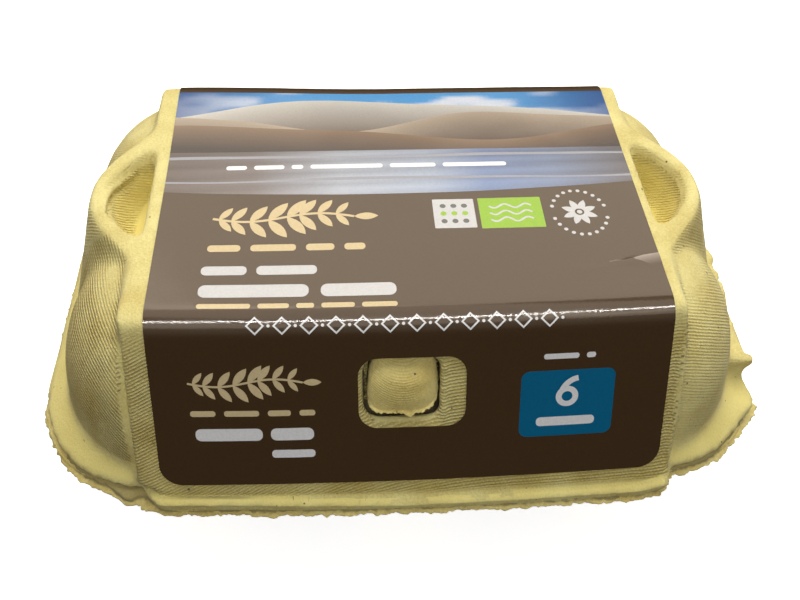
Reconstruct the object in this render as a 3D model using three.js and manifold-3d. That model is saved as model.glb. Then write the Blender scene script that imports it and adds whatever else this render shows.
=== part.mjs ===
// A shut six-egg carton of moulded pulp with a printed paper label.
// Millimetres, +Z up, the latch faces -Y, and the floor under the feet is z = 0.

import * as THREE from 'three';
import { mergeVertices } from 'three/addons/utils/BufferGeometryUtils.js';
import Module from 'manifold-3d';

const wasm = await Module();
wasm.setup();

// Driving dimensions of the whole carton
const TOP = 69; // height of the flat top over the floor
const RIM = 34; // height where the lid's rim meets the tray's rim
const GAP = 0.3; // clearance between pieces that touch
const HALF_LENGTH = 74.6; // middle of the carton to the lid's rim at each end
const HALF_DEPTH = 52.2; // middle of the carton to the lid's rim at the front

// The lid's middle: a flat top with sloping front and back panels
const PANEL_HALF_LENGTH = 52.1;
const PANEL_SHIFT = -0.3; // the panels stand this far off the middle
const PANEL_SKEW = 0.014; // sideways drift of the panels for each mm of depth, from handling
const TOP_HALF_DEPTH = 34.6;
const PANEL_SLOPE = 0.486; // how far a panel runs out for each mm that it drops
const FOLD_RADIUS = 3.4; // rounding of the edge between top and panel

// The four corner bulges, one over each corner egg
const BULGE_X = 46;
const BULGE_Y = 20;
const BULGE_RADIUS_X = 23.8;
const BULGE_RADIUS_Y = 26.6;
const BULGE_TOP = TOP - 0.7;
const BULGE_POWER = 2.25; // above 2 the bulge is boxier than a true ellipsoid
const BULGE_START = 51.4; // inside this the panels stand instead
const BULGE_SIDES = 56;
const BULGE_RINGS = 12;

// The hollow pillar in the middle of each end
const PILLAR_ROOT = 50;
const PILLAR_TIP = 62.2;
const PILLAR_ROOT_HALF = 25;
const PILLAR_TIP_HALF = 5.5;
const PILLAR_ROUND = 6; // size of the curve between its tip and its flanks
const PILLAR_TIP_FLAT = 1;
const PILLAR_FLARE = 0.29; // how far its walls run out for each mm that they drop
const PILLAR_LIP = 1.2; // height of the rounding along its top edge
const PILLAR_LIP_INSET = 0.6; // the flat top starts this far inside that edge
const POCKET_INNER = 50.8;
const POCKET_OUTER = 59.2;
const POCKET_HALF = 12.5;
const POCKET_ROUND = 2;
const POCKET_DEPTH = 10.6;
const POCKET_TAPER = 0.22; // how far its walls close in for each mm of depth
const POCKET_LIP = 1.6;
const POCKET_LIP_OUT = 1;

// The rims of lid and tray
const RIM_EDGE = 1.4; // thickness of the lid's rim at its edge
const BRIM_RISE = 3; // height of the brim's sloping top over that edge
const BRIM_WIDTH = 4.6;
const CORNER_INSET = 4.2; // how far the rim steps back beside the front panel
const CORNER_START = 54;
const STEP_START = 48.6;
const CORNER_CENTRE_X = 51; // middle of the rounded corner's arc
const CORNER_CENTRE_Y = 23;
const TRAY_RIM_THICK = 2.6;
const TRAY_RIM_PROUD = 1.0; // the tray's rim shows this far outside the lid's
const HINGE_HALF = 44; // the fold that joins the rims along the back
const HINGE_RISE = 0.4;

// The right end's rim, which steps up in its middle
const STEP_UP = 7.4;
const STEP_HALF = 29;
const STEP_SKIN = 2.4;
const STEP_INNER = 60;
const STEP_BACK = 1.2; // the raised rim stands this far behind the rest
const STEP_MOUTH = 4; // half the depth of the opening under it

// The tray: six tapered cups
const CUP_PITCH_X = 46.5;
const CUP_PITCH_Y = 44;
const CUP_TOP_HALF_X = 24.5;
const CUP_TOP_HALF_Y = 24;
const CUP_FOOT_HALF = 12;
// How far a cup has widened at a share of its height: a rounded foot, then a bowed wall
const CUP_PROFILE = [[0, 0], [0.038, 0.086], [0.38, 0.37], [0.7, 0.67], [1, 1]];
const CUP_SIDES = 32;
const CUP_ROUND_POWER = 2; // the foot is round
const CUP_SQUARE_POWER = 3.6; // the top is close to a square
const CUP_INSET = 1.6; // the cups start this far inside the rim
const TRAY_DRAFT = 0.25; // how far the tray narrows for each mm down to its feet

// The latch: a tongue of the tray behind the front panel, with a knob through a hole
const PANEL_SKIN = 2.2;
const TONGUE_THICK = 2.4;
const TONGUE_HALF = 20;
const TONGUE_RISE = 30;
const TONGUE_ROOT = 6; // how far the slot for it runs on below the rim
const TONGUE_CORNER = 5;
const HOLE_CENTRE_X = -1.7;
const HOLE_WIDTH = 13.8;
const HOLE_HEIGHT = 12.6;
const HOLE_DROP = 12.6; // from the top down to the hole's middle
const HOLE_CORNER = 2.6;
const KNOB_PROUD = 0.4; // how far the knob stands out of the panel
const KNOB_CLEARANCE = 0.6; // torn gap round the knob
const KNOB_CORNER = 3;
// The knob's pillow: how far each layer is inset, and its height over the panel's face
const KNOB_LAYERS = [[0, -PANEL_SKIN - 0.5], [0, -0.9], [0.5, -0.2], [1.5, KNOB_PROUD]];

// The label
const LABEL_WIDTH = 96;
const LABEL_SHIFT = 0.4; // it was stuck on this far to the right
const LABEL_THICK = 0.3;
const LABEL_DROP_FRONT = 30.6;
const LABEL_DROP_BACK = 15;
const LABEL_CORNER = 4.2;
const WINDOW_WIDTH = 20;
const WINDOW_HEIGHT = 14.4;
const WINDOW_CENTRE_X = 0.1;
const WINDOW_DROP = 13.2;
const WINDOW_CORNER = 3.6;

const ARC_STEPS = 6;
const SMALLEST_EDGE = 0.02; // cuts leave no detail finer than this
const CUT_PAST = 4; // a cutter runs on this far past the face that it cuts
const OUTSIDE = 80; // beyond every face of the carton
const SLOPE_ANGLE = Math.atan(PANEL_SLOPE); // lean of a panel from the vertical

// Materials
const pulp = new THREE.MeshStandardMaterial({ color: 0xe6d98c, roughness: 0.95, metalness: 0 });
const trayPulp = new THREE.MeshStandardMaterial({ color: 0xdccd7e, roughness: 0.95, metalness: 0 });
const paper = new THREE.MeshStandardMaterial({ color: 0x3c2c22, roughness: 0.35, metalness: 0 });

// A closed geometry as a solid that can be joined and cut
function toSolid(geometry) {
  const bare = geometry.clone();
  bare.deleteAttribute('normal');
  bare.deleteAttribute('uv');
  const merged = mergeVertices(bare, 1e-4);
  return new wasm.Manifold(new wasm.Mesh({
    numProp: 3,
    vertProperties: merged.attributes.position.array,
    triVerts: new Uint32Array(merged.index.array),
  }));
}

// A solid as a named mesh of the model
function toMesh(name, solid, material) {
  const { vertProperties, triVerts } = solid.simplify(SMALLEST_EDGE).getMesh();
  const geometry = new THREE.BufferGeometry();
  geometry.setAttribute('position', new THREE.BufferAttribute(vertProperties, 3));
  geometry.setIndex(new THREE.BufferAttribute(triVerts, 1));
  geometry.computeVertexNormals();
  const mesh = new THREE.Mesh(geometry, material);
  mesh.name = name;
  return mesh;
}

// A closed skin through outlines of equal point count, each [Vector2 list, height]
function loft(sections) {
  const count = sections[0][0].length;
  const positions = sections.flatMap(([outline, z]) => outline.flatMap((p) => [p.x, p.y, z]));
  const faces = THREE.ShapeUtils.triangulateShape(sections[0][0], []);
  const top = (sections.length - 1) * count;
  const index = faces.flatMap(([a, b, c]) => [a, c, b]);
  faces.forEach(([a, b, c]) => index.push(top + a, top + b, top + c));
  for (let ring = 0; ring < sections.length - 1; ring += 1) {
    for (let i = 0; i < count; i += 1) {
      const a = ring * count + i;
      const b = ring * count + (i + 1) % count;
      index.push(a, b, b + count, a, b + count, a + count);
    }
  }
  const geometry = new THREE.BufferGeometry();
  geometry.setAttribute('position', new THREE.Float32BufferAttribute(positions, 3));
  geometry.setIndex(index);
  return geometry;
}

// A shape's points, counter-clockwise and without a doubled last point
function outlineOf(shape, divisions) {
  const points = shape.getPoints(divisions);
  if (points[0].distanceTo(points[points.length - 1]) < 1e-6) points.pop();
  return THREE.ShapeUtils.isClockWise(points) ? points.reverse() : points;
}

// A solid moved by a matrix of three.js
function moved(geometry, matrix) {
  return toSolid(geometry.clone().applyMatrix4(matrix));
}

// The section of the lid's middle in the plane of depth and height, pushed out by grow
function panelSection(grow, bottom) {
  const lean = Math.hypot(1, PANEL_SLOPE);
  const top = TOP + grow;
  const edge = TOP_HALF_DEPTH + grow * (lean - PANEL_SLOPE);
  const reach = edge + (top - bottom) * PANEL_SLOPE;
  const radius = FOLD_RADIUS + grow;
  const back = radius * Math.tan((Math.PI / 2 - SLOPE_ANGLE) / 2);
  const turn = Math.PI / 2 - SLOPE_ANGLE;
  const shape = new THREE.Shape();
  shape.moveTo(-reach, bottom);
  shape.lineTo(reach, bottom);
  shape.lineTo(edge + back * Math.sin(SLOPE_ANGLE), top - back * Math.cos(SLOPE_ANGLE));
  shape.absarc(edge - back, top - radius, radius, Math.PI / 2 - turn, Math.PI / 2, false);
  shape.absarc(back - edge, top - radius, radius, Math.PI / 2, Math.PI / 2 + turn, false);
  return shape;
}

// A section drawn in depth and height, swept along the carton's length and skewed
function alongLength(shape, length, centre, skew) {
  const geometry = new THREE.ExtrudeGeometry(shape, {
    depth: length, bevelEnabled: false, curveSegments: ARC_STEPS,
  });
  const turn = new THREE.Matrix4().makeBasis(
    new THREE.Vector3(0, 1, 0), new THREE.Vector3(0, 0, 1), new THREE.Vector3(1, 0, 0),
  );
  turn.setPosition(centre - length / 2, 0, 0);
  const lean = new THREE.Matrix4().makeShear(0, 0, skew, 0, 0, 0);
  return moved(geometry, lean.multiply(turn));
}

// The plan of a rim, pushed out by grow; every quarter mirrors the front right one
function rimOutline(grow) {
  const end = HALF_LENGTH + grow;
  const front = HALF_DEPTH + grow;
  const radiusX = end - CORNER_CENTRE_X;
  const radiusY = front - CORNER_INSET - CORNER_CENTRE_Y;
  const start = Math.acos((CORNER_START - CORNER_CENTRE_X) / radiusX);
  const corner = CORNER_CENTRE_Y + radiusY * Math.sin(start);
  const step = new THREE.CubicBezierCurve(
    new THREE.Vector2(STEP_START, -front),
    new THREE.Vector2((STEP_START + CORNER_START) / 2, -front),
    new THREE.Vector2((STEP_START + CORNER_START) / 2, -corner),
    new THREE.Vector2(CORNER_START, -corner),
  );
  const arc = new THREE.EllipseCurve(
    CORNER_CENTRE_X, -CORNER_CENTRE_Y, radiusX, radiusY, -start, 0, false, 0,
  );
  const middle = [new THREE.Vector2(0, -front), new THREE.Vector2(STEP_START / 2, -front)];
  return mirrorQuarter([
    ...middle, ...step.getPoints(ARC_STEPS), ...arc.getPoints(2 * ARC_STEPS).slice(1),
  ]);
}

// The whole outline from its front right quarter, which runs from the front to the end
function mirrorQuarter(quarter) {
  const end = new THREE.Vector2(quarter[quarter.length - 1].x, 0);
  const right = [...quarter, end, ...quarter.map((p) => new THREE.Vector2(p.x, -p.y)).reverse()];
  const left = right.slice(1, -1).map((p) => new THREE.Vector2(-p.x, p.y)).reverse();
  return [...right, ...left];
}

// One corner bulge, turned from its profile and stretched to an oval plan
function cornerBulge(sideX, sideY) {
  const height = BULGE_TOP - RIM;
  const profile = [new THREE.Vector2(0, 0)];
  for (let ring = 0; ring < BULGE_RINGS; ring += 1) {
    const share = Math.sin((Math.PI / 2) * (ring / BULGE_RINGS));
    const radius = (1 - share ** BULGE_POWER) ** (1 / BULGE_POWER);
    profile.push(new THREE.Vector2(radius, share));
  }
  profile.push(new THREE.Vector2(0, 1));
  const geometry = new THREE.LatheGeometry(profile, BULGE_SIDES);
  const stand = new THREE.Matrix4().makeRotationX(Math.PI / 2);
  const stretch = new THREE.Matrix4().makeScale(BULGE_RADIUS_X, BULGE_RADIUS_Y, height);
  const place = new THREE.Matrix4().makeTranslation(sideX * BULGE_X, sideY * BULGE_Y, RIM);
  const whole = moved(geometry, place.multiply(stretch).multiply(stand));
  const outer = sideX * OUTSIDE;
  const inner = sideX * BULGE_START;
  return whole.intersect(block(
    Math.min(inner, outer), Math.max(inner, outer), -HALF_DEPTH, HALF_DEPTH, RIM, TOP,
  ));
}

// The plan of an end pillar at a depth under the top, for the right end
function pillarOutline(drop) {
  const out = drop * PILLAR_FLARE;
  const tip = PILLAR_TIP + out;
  const flat = PILLAR_TIP_FLAT + out;
  const half = PILLAR_TIP_HALF + out;
  const root = PILLAR_ROOT_HALF + out;
  const shape = new THREE.Shape();
  shape.moveTo(PILLAR_ROOT, -root);
  shape.bezierCurveTo(
    tip - 2 * PILLAR_ROUND, -half - 2 * PILLAR_ROUND, tip, -half - PILLAR_ROUND, tip, -flat,
  );
  shape.lineTo(tip, flat);
  shape.bezierCurveTo(
    tip, half + PILLAR_ROUND, tip - 2 * PILLAR_ROUND, half + 2 * PILLAR_ROUND, PILLAR_ROOT, root,
  );
  shape.closePath();
  return outlineOf(shape, 2 * ARC_STEPS);
}

// The plan of a pillar's pocket, shrunk all round by shrink
function pocketOutline(shrink) {
  const inner = POCKET_INNER + shrink / 2;
  const outer = POCKET_OUTER - shrink;
  const half = POCKET_HALF - shrink;
  const shape = new THREE.Shape();
  shape.moveTo(inner, -half);
  shape.bezierCurveTo(inner + POCKET_ROUND, -half, outer, -half / 2, outer, 0);
  shape.bezierCurveTo(outer, half / 2, inner + POCKET_ROUND, half, inner, half);
  shape.closePath();
  return outlineOf(shape, 2 * ARC_STEPS);
}

// One end pillar with the side +1 for the right end
function endPillar(side) {
  const body = loft([
    [pillarOutline(TOP - RIM - RIM_EDGE), RIM + RIM_EDGE],
    [pillarOutline(PILLAR_LIP), TOP - PILLAR_LIP],
    [pillarOutline(-PILLAR_LIP_INSET), TOP],
  ]);
  return toSolid(mirroredEnd(body, side));
}

// The pocket that is cut from a pillar
function endPocket(side) {
  const deep = POCKET_DEPTH * POCKET_TAPER;
  const body = loft([
    [pocketOutline(deep + POCKET_ROUND), TOP - POCKET_DEPTH],
    [pocketOutline(deep), TOP - POCKET_DEPTH + POCKET_ROUND],
    [pocketOutline(POCKET_LIP * POCKET_TAPER), TOP - POCKET_LIP],
    [pocketOutline(-POCKET_LIP_OUT), TOP + GAP],
  ]);
  return toSolid(mirroredEnd(body, side));
}

// A geometry of the right end, turned half round for the left end
function mirroredEnd(geometry, side) {
  return side > 0 ? geometry : geometry.applyMatrix4(new THREE.Matrix4().makeRotationZ(Math.PI));
}

// A box between two corners
function block(x0, x1, y0, y1, z0, z1) {
  const geometry = new THREE.BoxGeometry(x1 - x0, y1 - y0, z1 - z0);
  return toSolid(geometry.translate((x0 + x1) / 2, (y0 + y1) / 2, (z0 + z1) / 2));
}

// The matrix that lays a drawing on the front panel, its origin at the fold, +Y up the slope
function onFrontPanel(outward) {
  const upSlope = new THREE.Vector3(0, Math.sin(SLOPE_ANGLE), Math.cos(SLOPE_ANGLE));
  const out = new THREE.Vector3(0, -Math.cos(SLOPE_ANGLE), Math.sin(SLOPE_ANGLE));
  const matrix = new THREE.Matrix4().makeBasis(new THREE.Vector3(1, 0, 0), upSlope, out);
  const fold = new THREE.Vector3(0, -TOP_HALF_DEPTH, TOP).addScaledVector(out, outward);
  return matrix.setPosition(fold);
}

// A rounded rectangle round a middle point
function roundedPlate(x, y, width, height, radius) {
  const shape = new THREE.Shape();
  const right = x + width / 2 - radius;
  const left = x - width / 2 + radius;
  const top = y + height / 2 - radius;
  const bottom = y - height / 2 + radius;
  shape.absarc(right, top, radius, 0, Math.PI / 2, false);
  shape.absarc(left, top, radius, Math.PI / 2, Math.PI, false);
  shape.absarc(left, bottom, radius, Math.PI, Math.PI * 1.5, false);
  shape.absarc(right, bottom, radius, Math.PI * 1.5, Math.PI * 2, false);
  shape.closePath();
  return shape;
}

// A plate on the front panel, from inside to outside of the panel's face
function panelPlate(shape, inside, outside) {
  const geometry = new THREE.ExtrudeGeometry(shape, {
    depth: outside - inside, bevelEnabled: false, curveSegments: ARC_STEPS,
  });
  return moved(geometry, onFrontPanel(inside));
}

const alongSlope = (drop) => -drop / Math.cos(SLOPE_ANGLE);

// The slot behind the front panel, or the tongue that fills it with clearance
function tongue(clearance) {
  const low = alongSlope(TOP - RIM + TONGUE_ROOT);
  const high = alongSlope(TOP - RIM) + TONGUE_RISE + clearance;
  const width = 2 * (TONGUE_HALF + clearance);
  const shape = roundedPlate(0, (low + high) / 2, width, high - low, TONGUE_CORNER);
  const front = -PANEL_SKIN + clearance;
  const back = -PANEL_SKIN - TONGUE_THICK - clearance;
  return panelPlate(shape, back, front);
}

// The hole in the front panel
function latchHole() {
  const shape = roundedPlate(
    HOLE_CENTRE_X, alongSlope(HOLE_DROP), HOLE_WIDTH, HOLE_HEIGHT, HOLE_CORNER,
  );
  return panelPlate(shape, -PANEL_SKIN - 2 * GAP, CUT_PAST);
}

// The knob: a rounded pillow on the tongue, standing through the hole
function latchKnob() {
  const sections = KNOB_LAYERS.map(([inset, height]) => {
    const smaller = 2 * (KNOB_CLEARANCE + inset);
    const shape = roundedPlate(
      HOLE_CENTRE_X, alongSlope(HOLE_DROP), HOLE_WIDTH - smaller, HOLE_HEIGHT - smaller, KNOB_CORNER,
    );
    return [outlineOf(shape, ARC_STEPS), height];
  });
  return moved(loft(sections), onFrontPanel(0));
}

// The raised middle of the right end's rim, grown or shrunk by grow, up to a height
function raisedEnd(grow, bottom, top) {
  return block(STEP_INNER, HALF_LENGTH + grow, -STEP_HALF - grow, STEP_HALF + grow, bottom, top);
}

function buildLid() {
  const panels = alongLength(
    panelSection(0, RIM), 2 * PANEL_HALF_LENGTH, PANEL_SHIFT, PANEL_SKEW,
  );
  const column = loft([[rimOutline(0), RIM], [rimOutline(0), TOP + CUT_PAST]]);
  let solid = panels.intersect(toSolid(column));
  const brim = loft([
    [rimOutline(0), RIM],
    [rimOutline(0), RIM + RIM_EDGE],
    [rimOutline(-BRIM_WIDTH), RIM + RIM_EDGE + BRIM_RISE],
  ]);
  solid = solid.add(toSolid(brim));
  for (const sideX of [-1, 1]) {
    solid = solid.add(endPillar(sideX));
    solid = solid.add(cornerBulge(sideX, -1)).add(cornerBulge(sideX, 1));
  }
  solid = solid.add(raisedEnd(-STEP_BACK, RIM, RIM + RIM_EDGE + STEP_UP));
  for (const side of [-1, 1]) solid = solid.subtract(endPocket(side));
  const mouth = block(
    HALF_LENGTH - STEP_MOUTH, HALF_LENGTH + STEP_MOUTH, STEP_SKIN - STEP_HALF, STEP_HALF - STEP_SKIN,
    RIM - CUT_PAST, RIM + STEP_UP,
  );
  solid = solid.subtract(raisedEnd(-STEP_SKIN, RIM - CUT_PAST, RIM + STEP_UP).add(mouth));
  solid = solid.subtract(tongue(GAP)).subtract(latchHole());
  return toMesh('lid', solid, pulp);
}

// One cup of the tray: a rounded square at the rim that tapers to a flat round foot
function trayCup(x, y) {
  const sections = CUP_PROFILE.map(([rise, spread]) => {
    const halfX = THREE.MathUtils.lerp(CUP_FOOT_HALF, CUP_TOP_HALF_X, spread);
    const halfY = THREE.MathUtils.lerp(CUP_FOOT_HALF, CUP_TOP_HALF_Y, spread);
    const power = THREE.MathUtils.lerp(CUP_ROUND_POWER, CUP_SQUARE_POWER, rise);
    return [squareRound(x, y, halfX, halfY, power), rise * (RIM - TRAY_RIM_THICK)];
  });
  return toSolid(loft(sections));
}

// A plan between a circle and a rounded square: power 2 is an ellipse
function squareRound(x, y, halfX, halfY, power) {
  const points = [];
  for (let i = 0; i < CUP_SIDES; i += 1) {
    const angle = (2 * Math.PI * (i + 0.5)) / CUP_SIDES;
    const cos = Math.cos(angle);
    const sin = Math.sin(angle);
    const reach = (Math.abs(cos) ** power + Math.abs(sin) ** power) ** (-1 / power);
    points.push(new THREE.Vector2(x + halfX * reach * cos, y + halfY * reach * sin));
  }
  return points;
}

function buildTray() {
  const low = RIM - GAP - TRAY_RIM_THICK;
  const rim = toSolid(loft([
    [rimOutline(0), low],
    [rimOutline(TRAY_RIM_PROUD), low + TRAY_RIM_PROUD],
    [rimOutline(TRAY_RIM_PROUD), RIM - GAP],
  ]));
  const mould = toSolid(loft([[rimOutline(-TRAY_DRAFT * RIM), 0], [rimOutline(-CUP_INSET), low]]));
  let solid = rim;
  for (const column of [-1, 0, 1]) {
    for (const row of [-0.5, 0.5]) {
      solid = solid.add(trayCup(column * CUP_PITCH_X, row * CUP_PITCH_Y).intersect(mould));
    }
  }
  const half = STEP_HALF - STEP_SKIN - GAP;
  const raised = block(
    STEP_INNER + GAP, HALF_LENGTH + TRAY_RIM_PROUD - STEP_BACK, -half, half, low, RIM + STEP_UP - GAP,
  );
  const overRim = block(-HALF_LENGTH, HALF_LENGTH, -HALF_DEPTH, 0, RIM - TRAY_RIM_PROUD, TOP);
  const backFold = block(
    -HINGE_HALF, HINGE_HALF, HALF_DEPTH + GAP, HALF_DEPTH + TRAY_RIM_PROUD,
    RIM - TRAY_RIM_PROUD, RIM + RIM_EDGE + HINGE_RISE,
  );
  solid = solid.add(raised).add(backFold).add(tongue(0).intersect(overRim)).add(latchKnob());
  return toMesh('tray', solid, trayPulp);
}

// The room that the front half of the label takes, its two lower corners rounded
function labelFlap(drop) {
  const low = alongSlope(drop);
  const high = CUT_PAST;
  const sheet = roundedPlate(LABEL_SHIFT, (low + high) / 2, LABEL_WIDTH, high - low, LABEL_CORNER);
  const half = LABEL_WIDTH / 2;
  const square = TOP - 2 * CUT_PAST; // over this height the label is square cut
  const over = block(-OUTSIDE, OUTSIDE, -OUTSIDE, 0, square, TOP + OUTSIDE);
  const flap = panelPlate(sheet, -CUT_PAST, CUT_PAST).subtract(over);
  return flap.add(block(
    LABEL_SHIFT - half, LABEL_SHIFT + half, -OUTSIDE, 0, square, TOP + CUT_PAST,
  ));
}

function buildLabel() {
  const around = panelSection(GAP + LABEL_THICK, RIM);
  const within = panelSection(GAP, RIM - CUT_PAST);
  const outer = alongLength(around, LABEL_WIDTH, LABEL_SHIFT, 0);
  const inner = alongLength(within, LABEL_WIDTH + CUT_PAST, LABEL_SHIFT, 0);
  let sheet = outer.subtract(inner);
  sheet = sheet.intersect(labelFlap(LABEL_DROP_FRONT).add(
    labelFlap(LABEL_DROP_BACK).mirror([0, 1, 0]),
  ));
  const window = roundedPlate(
    WINDOW_CENTRE_X, alongSlope(WINDOW_DROP), WINDOW_WIDTH, WINDOW_HEIGHT, WINDOW_CORNER,
  );
  sheet = sheet.subtract(panelPlate(window, -CUT_PAST, CUT_PAST));
  return toMesh('label', sheet, paper);
}

const carton = new THREE.Group();
carton.add(buildLid(), buildTray(), buildLabel());

export default carton;
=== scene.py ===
"""The looks of a shut egg carton: a moulded pulp lid and tray, and a printed paper label."""

import logging
import math
from collections.abc import Callable
from dataclasses import dataclass
from enum import Enum

import bmesh
import bpy
import numpy as np
from mathutils import Matrix, Vector, geometry, noise


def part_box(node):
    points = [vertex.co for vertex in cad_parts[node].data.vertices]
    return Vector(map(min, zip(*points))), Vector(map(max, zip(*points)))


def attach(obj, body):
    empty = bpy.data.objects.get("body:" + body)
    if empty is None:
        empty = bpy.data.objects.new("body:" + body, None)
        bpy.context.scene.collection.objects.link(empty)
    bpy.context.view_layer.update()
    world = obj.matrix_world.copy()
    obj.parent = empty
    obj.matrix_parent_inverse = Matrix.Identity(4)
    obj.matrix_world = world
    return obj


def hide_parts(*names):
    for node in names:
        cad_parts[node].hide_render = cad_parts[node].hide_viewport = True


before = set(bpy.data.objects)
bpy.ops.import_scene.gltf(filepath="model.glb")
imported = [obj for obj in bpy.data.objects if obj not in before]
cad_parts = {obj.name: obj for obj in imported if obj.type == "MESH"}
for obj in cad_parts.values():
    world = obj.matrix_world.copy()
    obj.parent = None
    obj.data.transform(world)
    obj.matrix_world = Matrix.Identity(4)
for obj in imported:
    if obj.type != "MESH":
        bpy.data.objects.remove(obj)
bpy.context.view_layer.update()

MM = 0.001
Colour = tuple[float, float, float]
Outline = list[tuple[float, float]]
Line = Callable[[np.ndarray], np.ndarray]
InkRule = Callable[[np.ndarray, np.ndarray], np.ndarray]

log = logging.getLogger("egg_carton")


# Small tools for meshes, in millimetres

def smoothstep(low: float, high: float, value: np.ndarray) -> np.ndarray:
    """A soft step from 0 at low to 1 at high."""
    t = np.clip((value - low) / (high - low), 0.0, 1.0)
    return t * t * (3.0 - 2.0 * t)


def hump(value: np.ndarray, width: float) -> np.ndarray:
    """A soft hump of height 1 round zero, with this half width."""
    return np.exp(-((value / width) ** 2))


@dataclass(frozen=True)
class Swell:
    """A soft swelling, or a dip, round one place: its middle, half width and height."""

    middle: float
    half: float
    height: float = 1.0

    def at(self, place: np.ndarray) -> np.ndarray:
        """How high it is at each place."""
        return self.height * hump(place - self.middle, self.half)


def total(swells: tuple[Swell, ...], place: np.ndarray) -> np.ndarray:
    """How high some swellings are together at each place."""
    return sum(swell.at(place) for swell in swells)


def read_points(mesh: bpy.types.Mesh) -> np.ndarray:
    """The vertices of a mesh in millimetres.

    Args:
        mesh: the mesh.

    Returns:
        The points, one row each.
    """
    flat = np.empty(len(mesh.vertices) * 3, np.float32)
    mesh.vertices.foreach_get("co", flat)
    return flat.reshape(-1, 3).astype(float) / MM


def write_points(mesh: bpy.types.Mesh, points: np.ndarray) -> None:
    """Sets the vertices of a mesh from points in millimetres."""
    mesh.vertices.foreach_set("co", (points * MM).astype(np.float32).ravel())
    mesh.update()


def read_normals(mesh: bpy.types.Mesh) -> np.ndarray:
    """The vertex normals of a mesh.

    Args:
        mesh: the mesh.

    Returns:
        The directions, one row each.
    """
    flat = np.empty(len(mesh.vertices) * 3, np.float32)
    mesh.vertex_normals.foreach_get("vector", flat)
    return flat.reshape(-1, 3).astype(float)


def read_edges(mesh: bpy.types.Mesh) -> np.ndarray:
    """The edges of a mesh as pairs of vertex numbers.

    Args:
        mesh: the mesh.

    Returns:
        The pairs, one row each.
    """
    flat = np.empty(len(mesh.edges) * 2, np.int32)
    mesh.edges.foreach_get("vertices", flat)
    return flat.reshape(-1, 2)


def smoothed(values: np.ndarray, edges: np.ndarray, rounds: int,
             share: np.ndarray | float = 0.5) -> np.ndarray:
    """Values pulled towards the mean of their neighbours.

    Args:
        values: one row for each vertex, such as its point or its mask.
        edges: pairs of vertex numbers.
        rounds: how many times the values are pulled.
        share: how far each pull goes, for all vertices or for each.

    Returns:
        The new values.
    """
    count = np.bincount(edges.ravel(), minlength=len(values)).astype(float)
    count = np.maximum(count, 1.0)
    table = values.reshape(len(values), -1).astype(float)
    pull = np.broadcast_to(np.asarray(share, float).reshape(-1, 1), (len(values), 1))
    for _ in range(rounds):
        total = np.zeros_like(table)
        for column in range(table.shape[1]):
            total[:, column] = (
                np.bincount(edges[:, 0], table[edges[:, 1], column], len(values))
                + np.bincount(edges[:, 1], table[edges[:, 0], column], len(values)))
        table += pull * (total / count[:, None] - table)
    return table.reshape(values.shape)


def noise_at(points: np.ndarray, size: float, seed: float = 0.0) -> np.ndarray:
    """Smooth noise from about -1 to 1 whose lumps are as large as size."""
    shift = Vector((seed * 17.3, seed * 5.1, seed * 9.7))
    return np.array([noise.noise(Vector(p) + shift) for p in points / size])


def add_mesh(name: str, points: np.ndarray, faces: list) -> bpy.types.Object:
    """A new smooth-shaded object from points in millimetres.

    Args:
        name: the piece's name.
        points: its vertices, one row each.
        faces: the vertex numbers of each face.

    Returns:
        The new object.
    """
    mesh = bpy.data.meshes.new(name)
    mesh.from_pydata([tuple(p) for p in points * MM], [], faces)
    mesh.validate()
    mesh.shade_smooth()
    mesh.update()
    made = bpy.data.objects.new(name, mesh)
    bpy.context.scene.collection.objects.link(made)
    return made


def remeshed_copy(node: bpy.types.Object, name: str, voxel: float) -> bpy.types.Object:
    """A copy of a solid with an even skin of small squares.

    Args:
        node: the solid, which stays as it is.
        name: the new piece's name.
        voxel: the size of the squares in millimetres.

    Returns:
        The new object.
    """
    mesh = node.data.copy()
    mesh.materials.clear()
    work = bmesh.new()
    work.from_mesh(mesh)
    bmesh.ops.remove_doubles(work, verts=work.verts, dist=0.0001 * MM)
    work.to_mesh(mesh)
    work.free()
    rough = bpy.data.objects.new(name + "_rough", mesh)
    bpy.context.scene.collection.objects.link(rough)
    squares = rough.modifiers.new("Squares", "REMESH")
    squares.mode = "VOXEL"
    squares.voxel_size = voxel * MM
    squares.adaptivity = 0.0
    depsgraph = bpy.context.evaluated_depsgraph_get()
    even = bpy.data.meshes.new_from_object(rough.evaluated_get(depsgraph))
    even.name = name
    even.shade_smooth()
    bpy.data.objects.remove(rough)
    made = bpy.data.objects.new(name, even)
    bpy.context.scene.collection.objects.link(made)
    return made


def store(mesh: bpy.types.Mesh, name: str, rows: np.ndarray) -> None:
    """Keeps a number or a vector for each vertex under a name that a material can read.

    Args:
        mesh: the mesh.
        name: the name.
        rows: the numbers, or the vectors as rows of three.
    """
    kind, key = ("FLOAT_VECTOR", "vector") if rows.ndim == 2 else ("FLOAT", "value")
    kept = mesh.attributes.new(name, kind, "POINT")
    kept.data.foreach_set(key, rows.astype(np.float32).ravel())


def swept_ring(name: str, origins: np.ndarray, outs: np.ndarray,
               sections: np.ndarray) -> bpy.types.Object:
    """A strip with a closed section, swept along a level ring.

    Args:
        name: the piece's name.
        origins: the ring's points, one row each.
        outs: the direction at each point that a section's first number runs along.
        sections: for each path point, its section's points, out and up, shape (path, section, 2).

    Returns:
        The new object.
    """
    count, around = sections.shape[:2]
    points = origins[:, None, :] + sections[:, :, :1] * outs[:, None, :]
    points[:, :, 2] += sections[:, :, 1]
    faces = []
    for i in range(count):
        here, ahead = i * around, ((i + 1) % count) * around
        for j in range(around):
            k = (j + 1) % around
            faces.append((here + j, ahead + j, ahead + k, here + k))
    return add_mesh(name, points.reshape(-1, 3), faces)


# The carton's sizes

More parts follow.
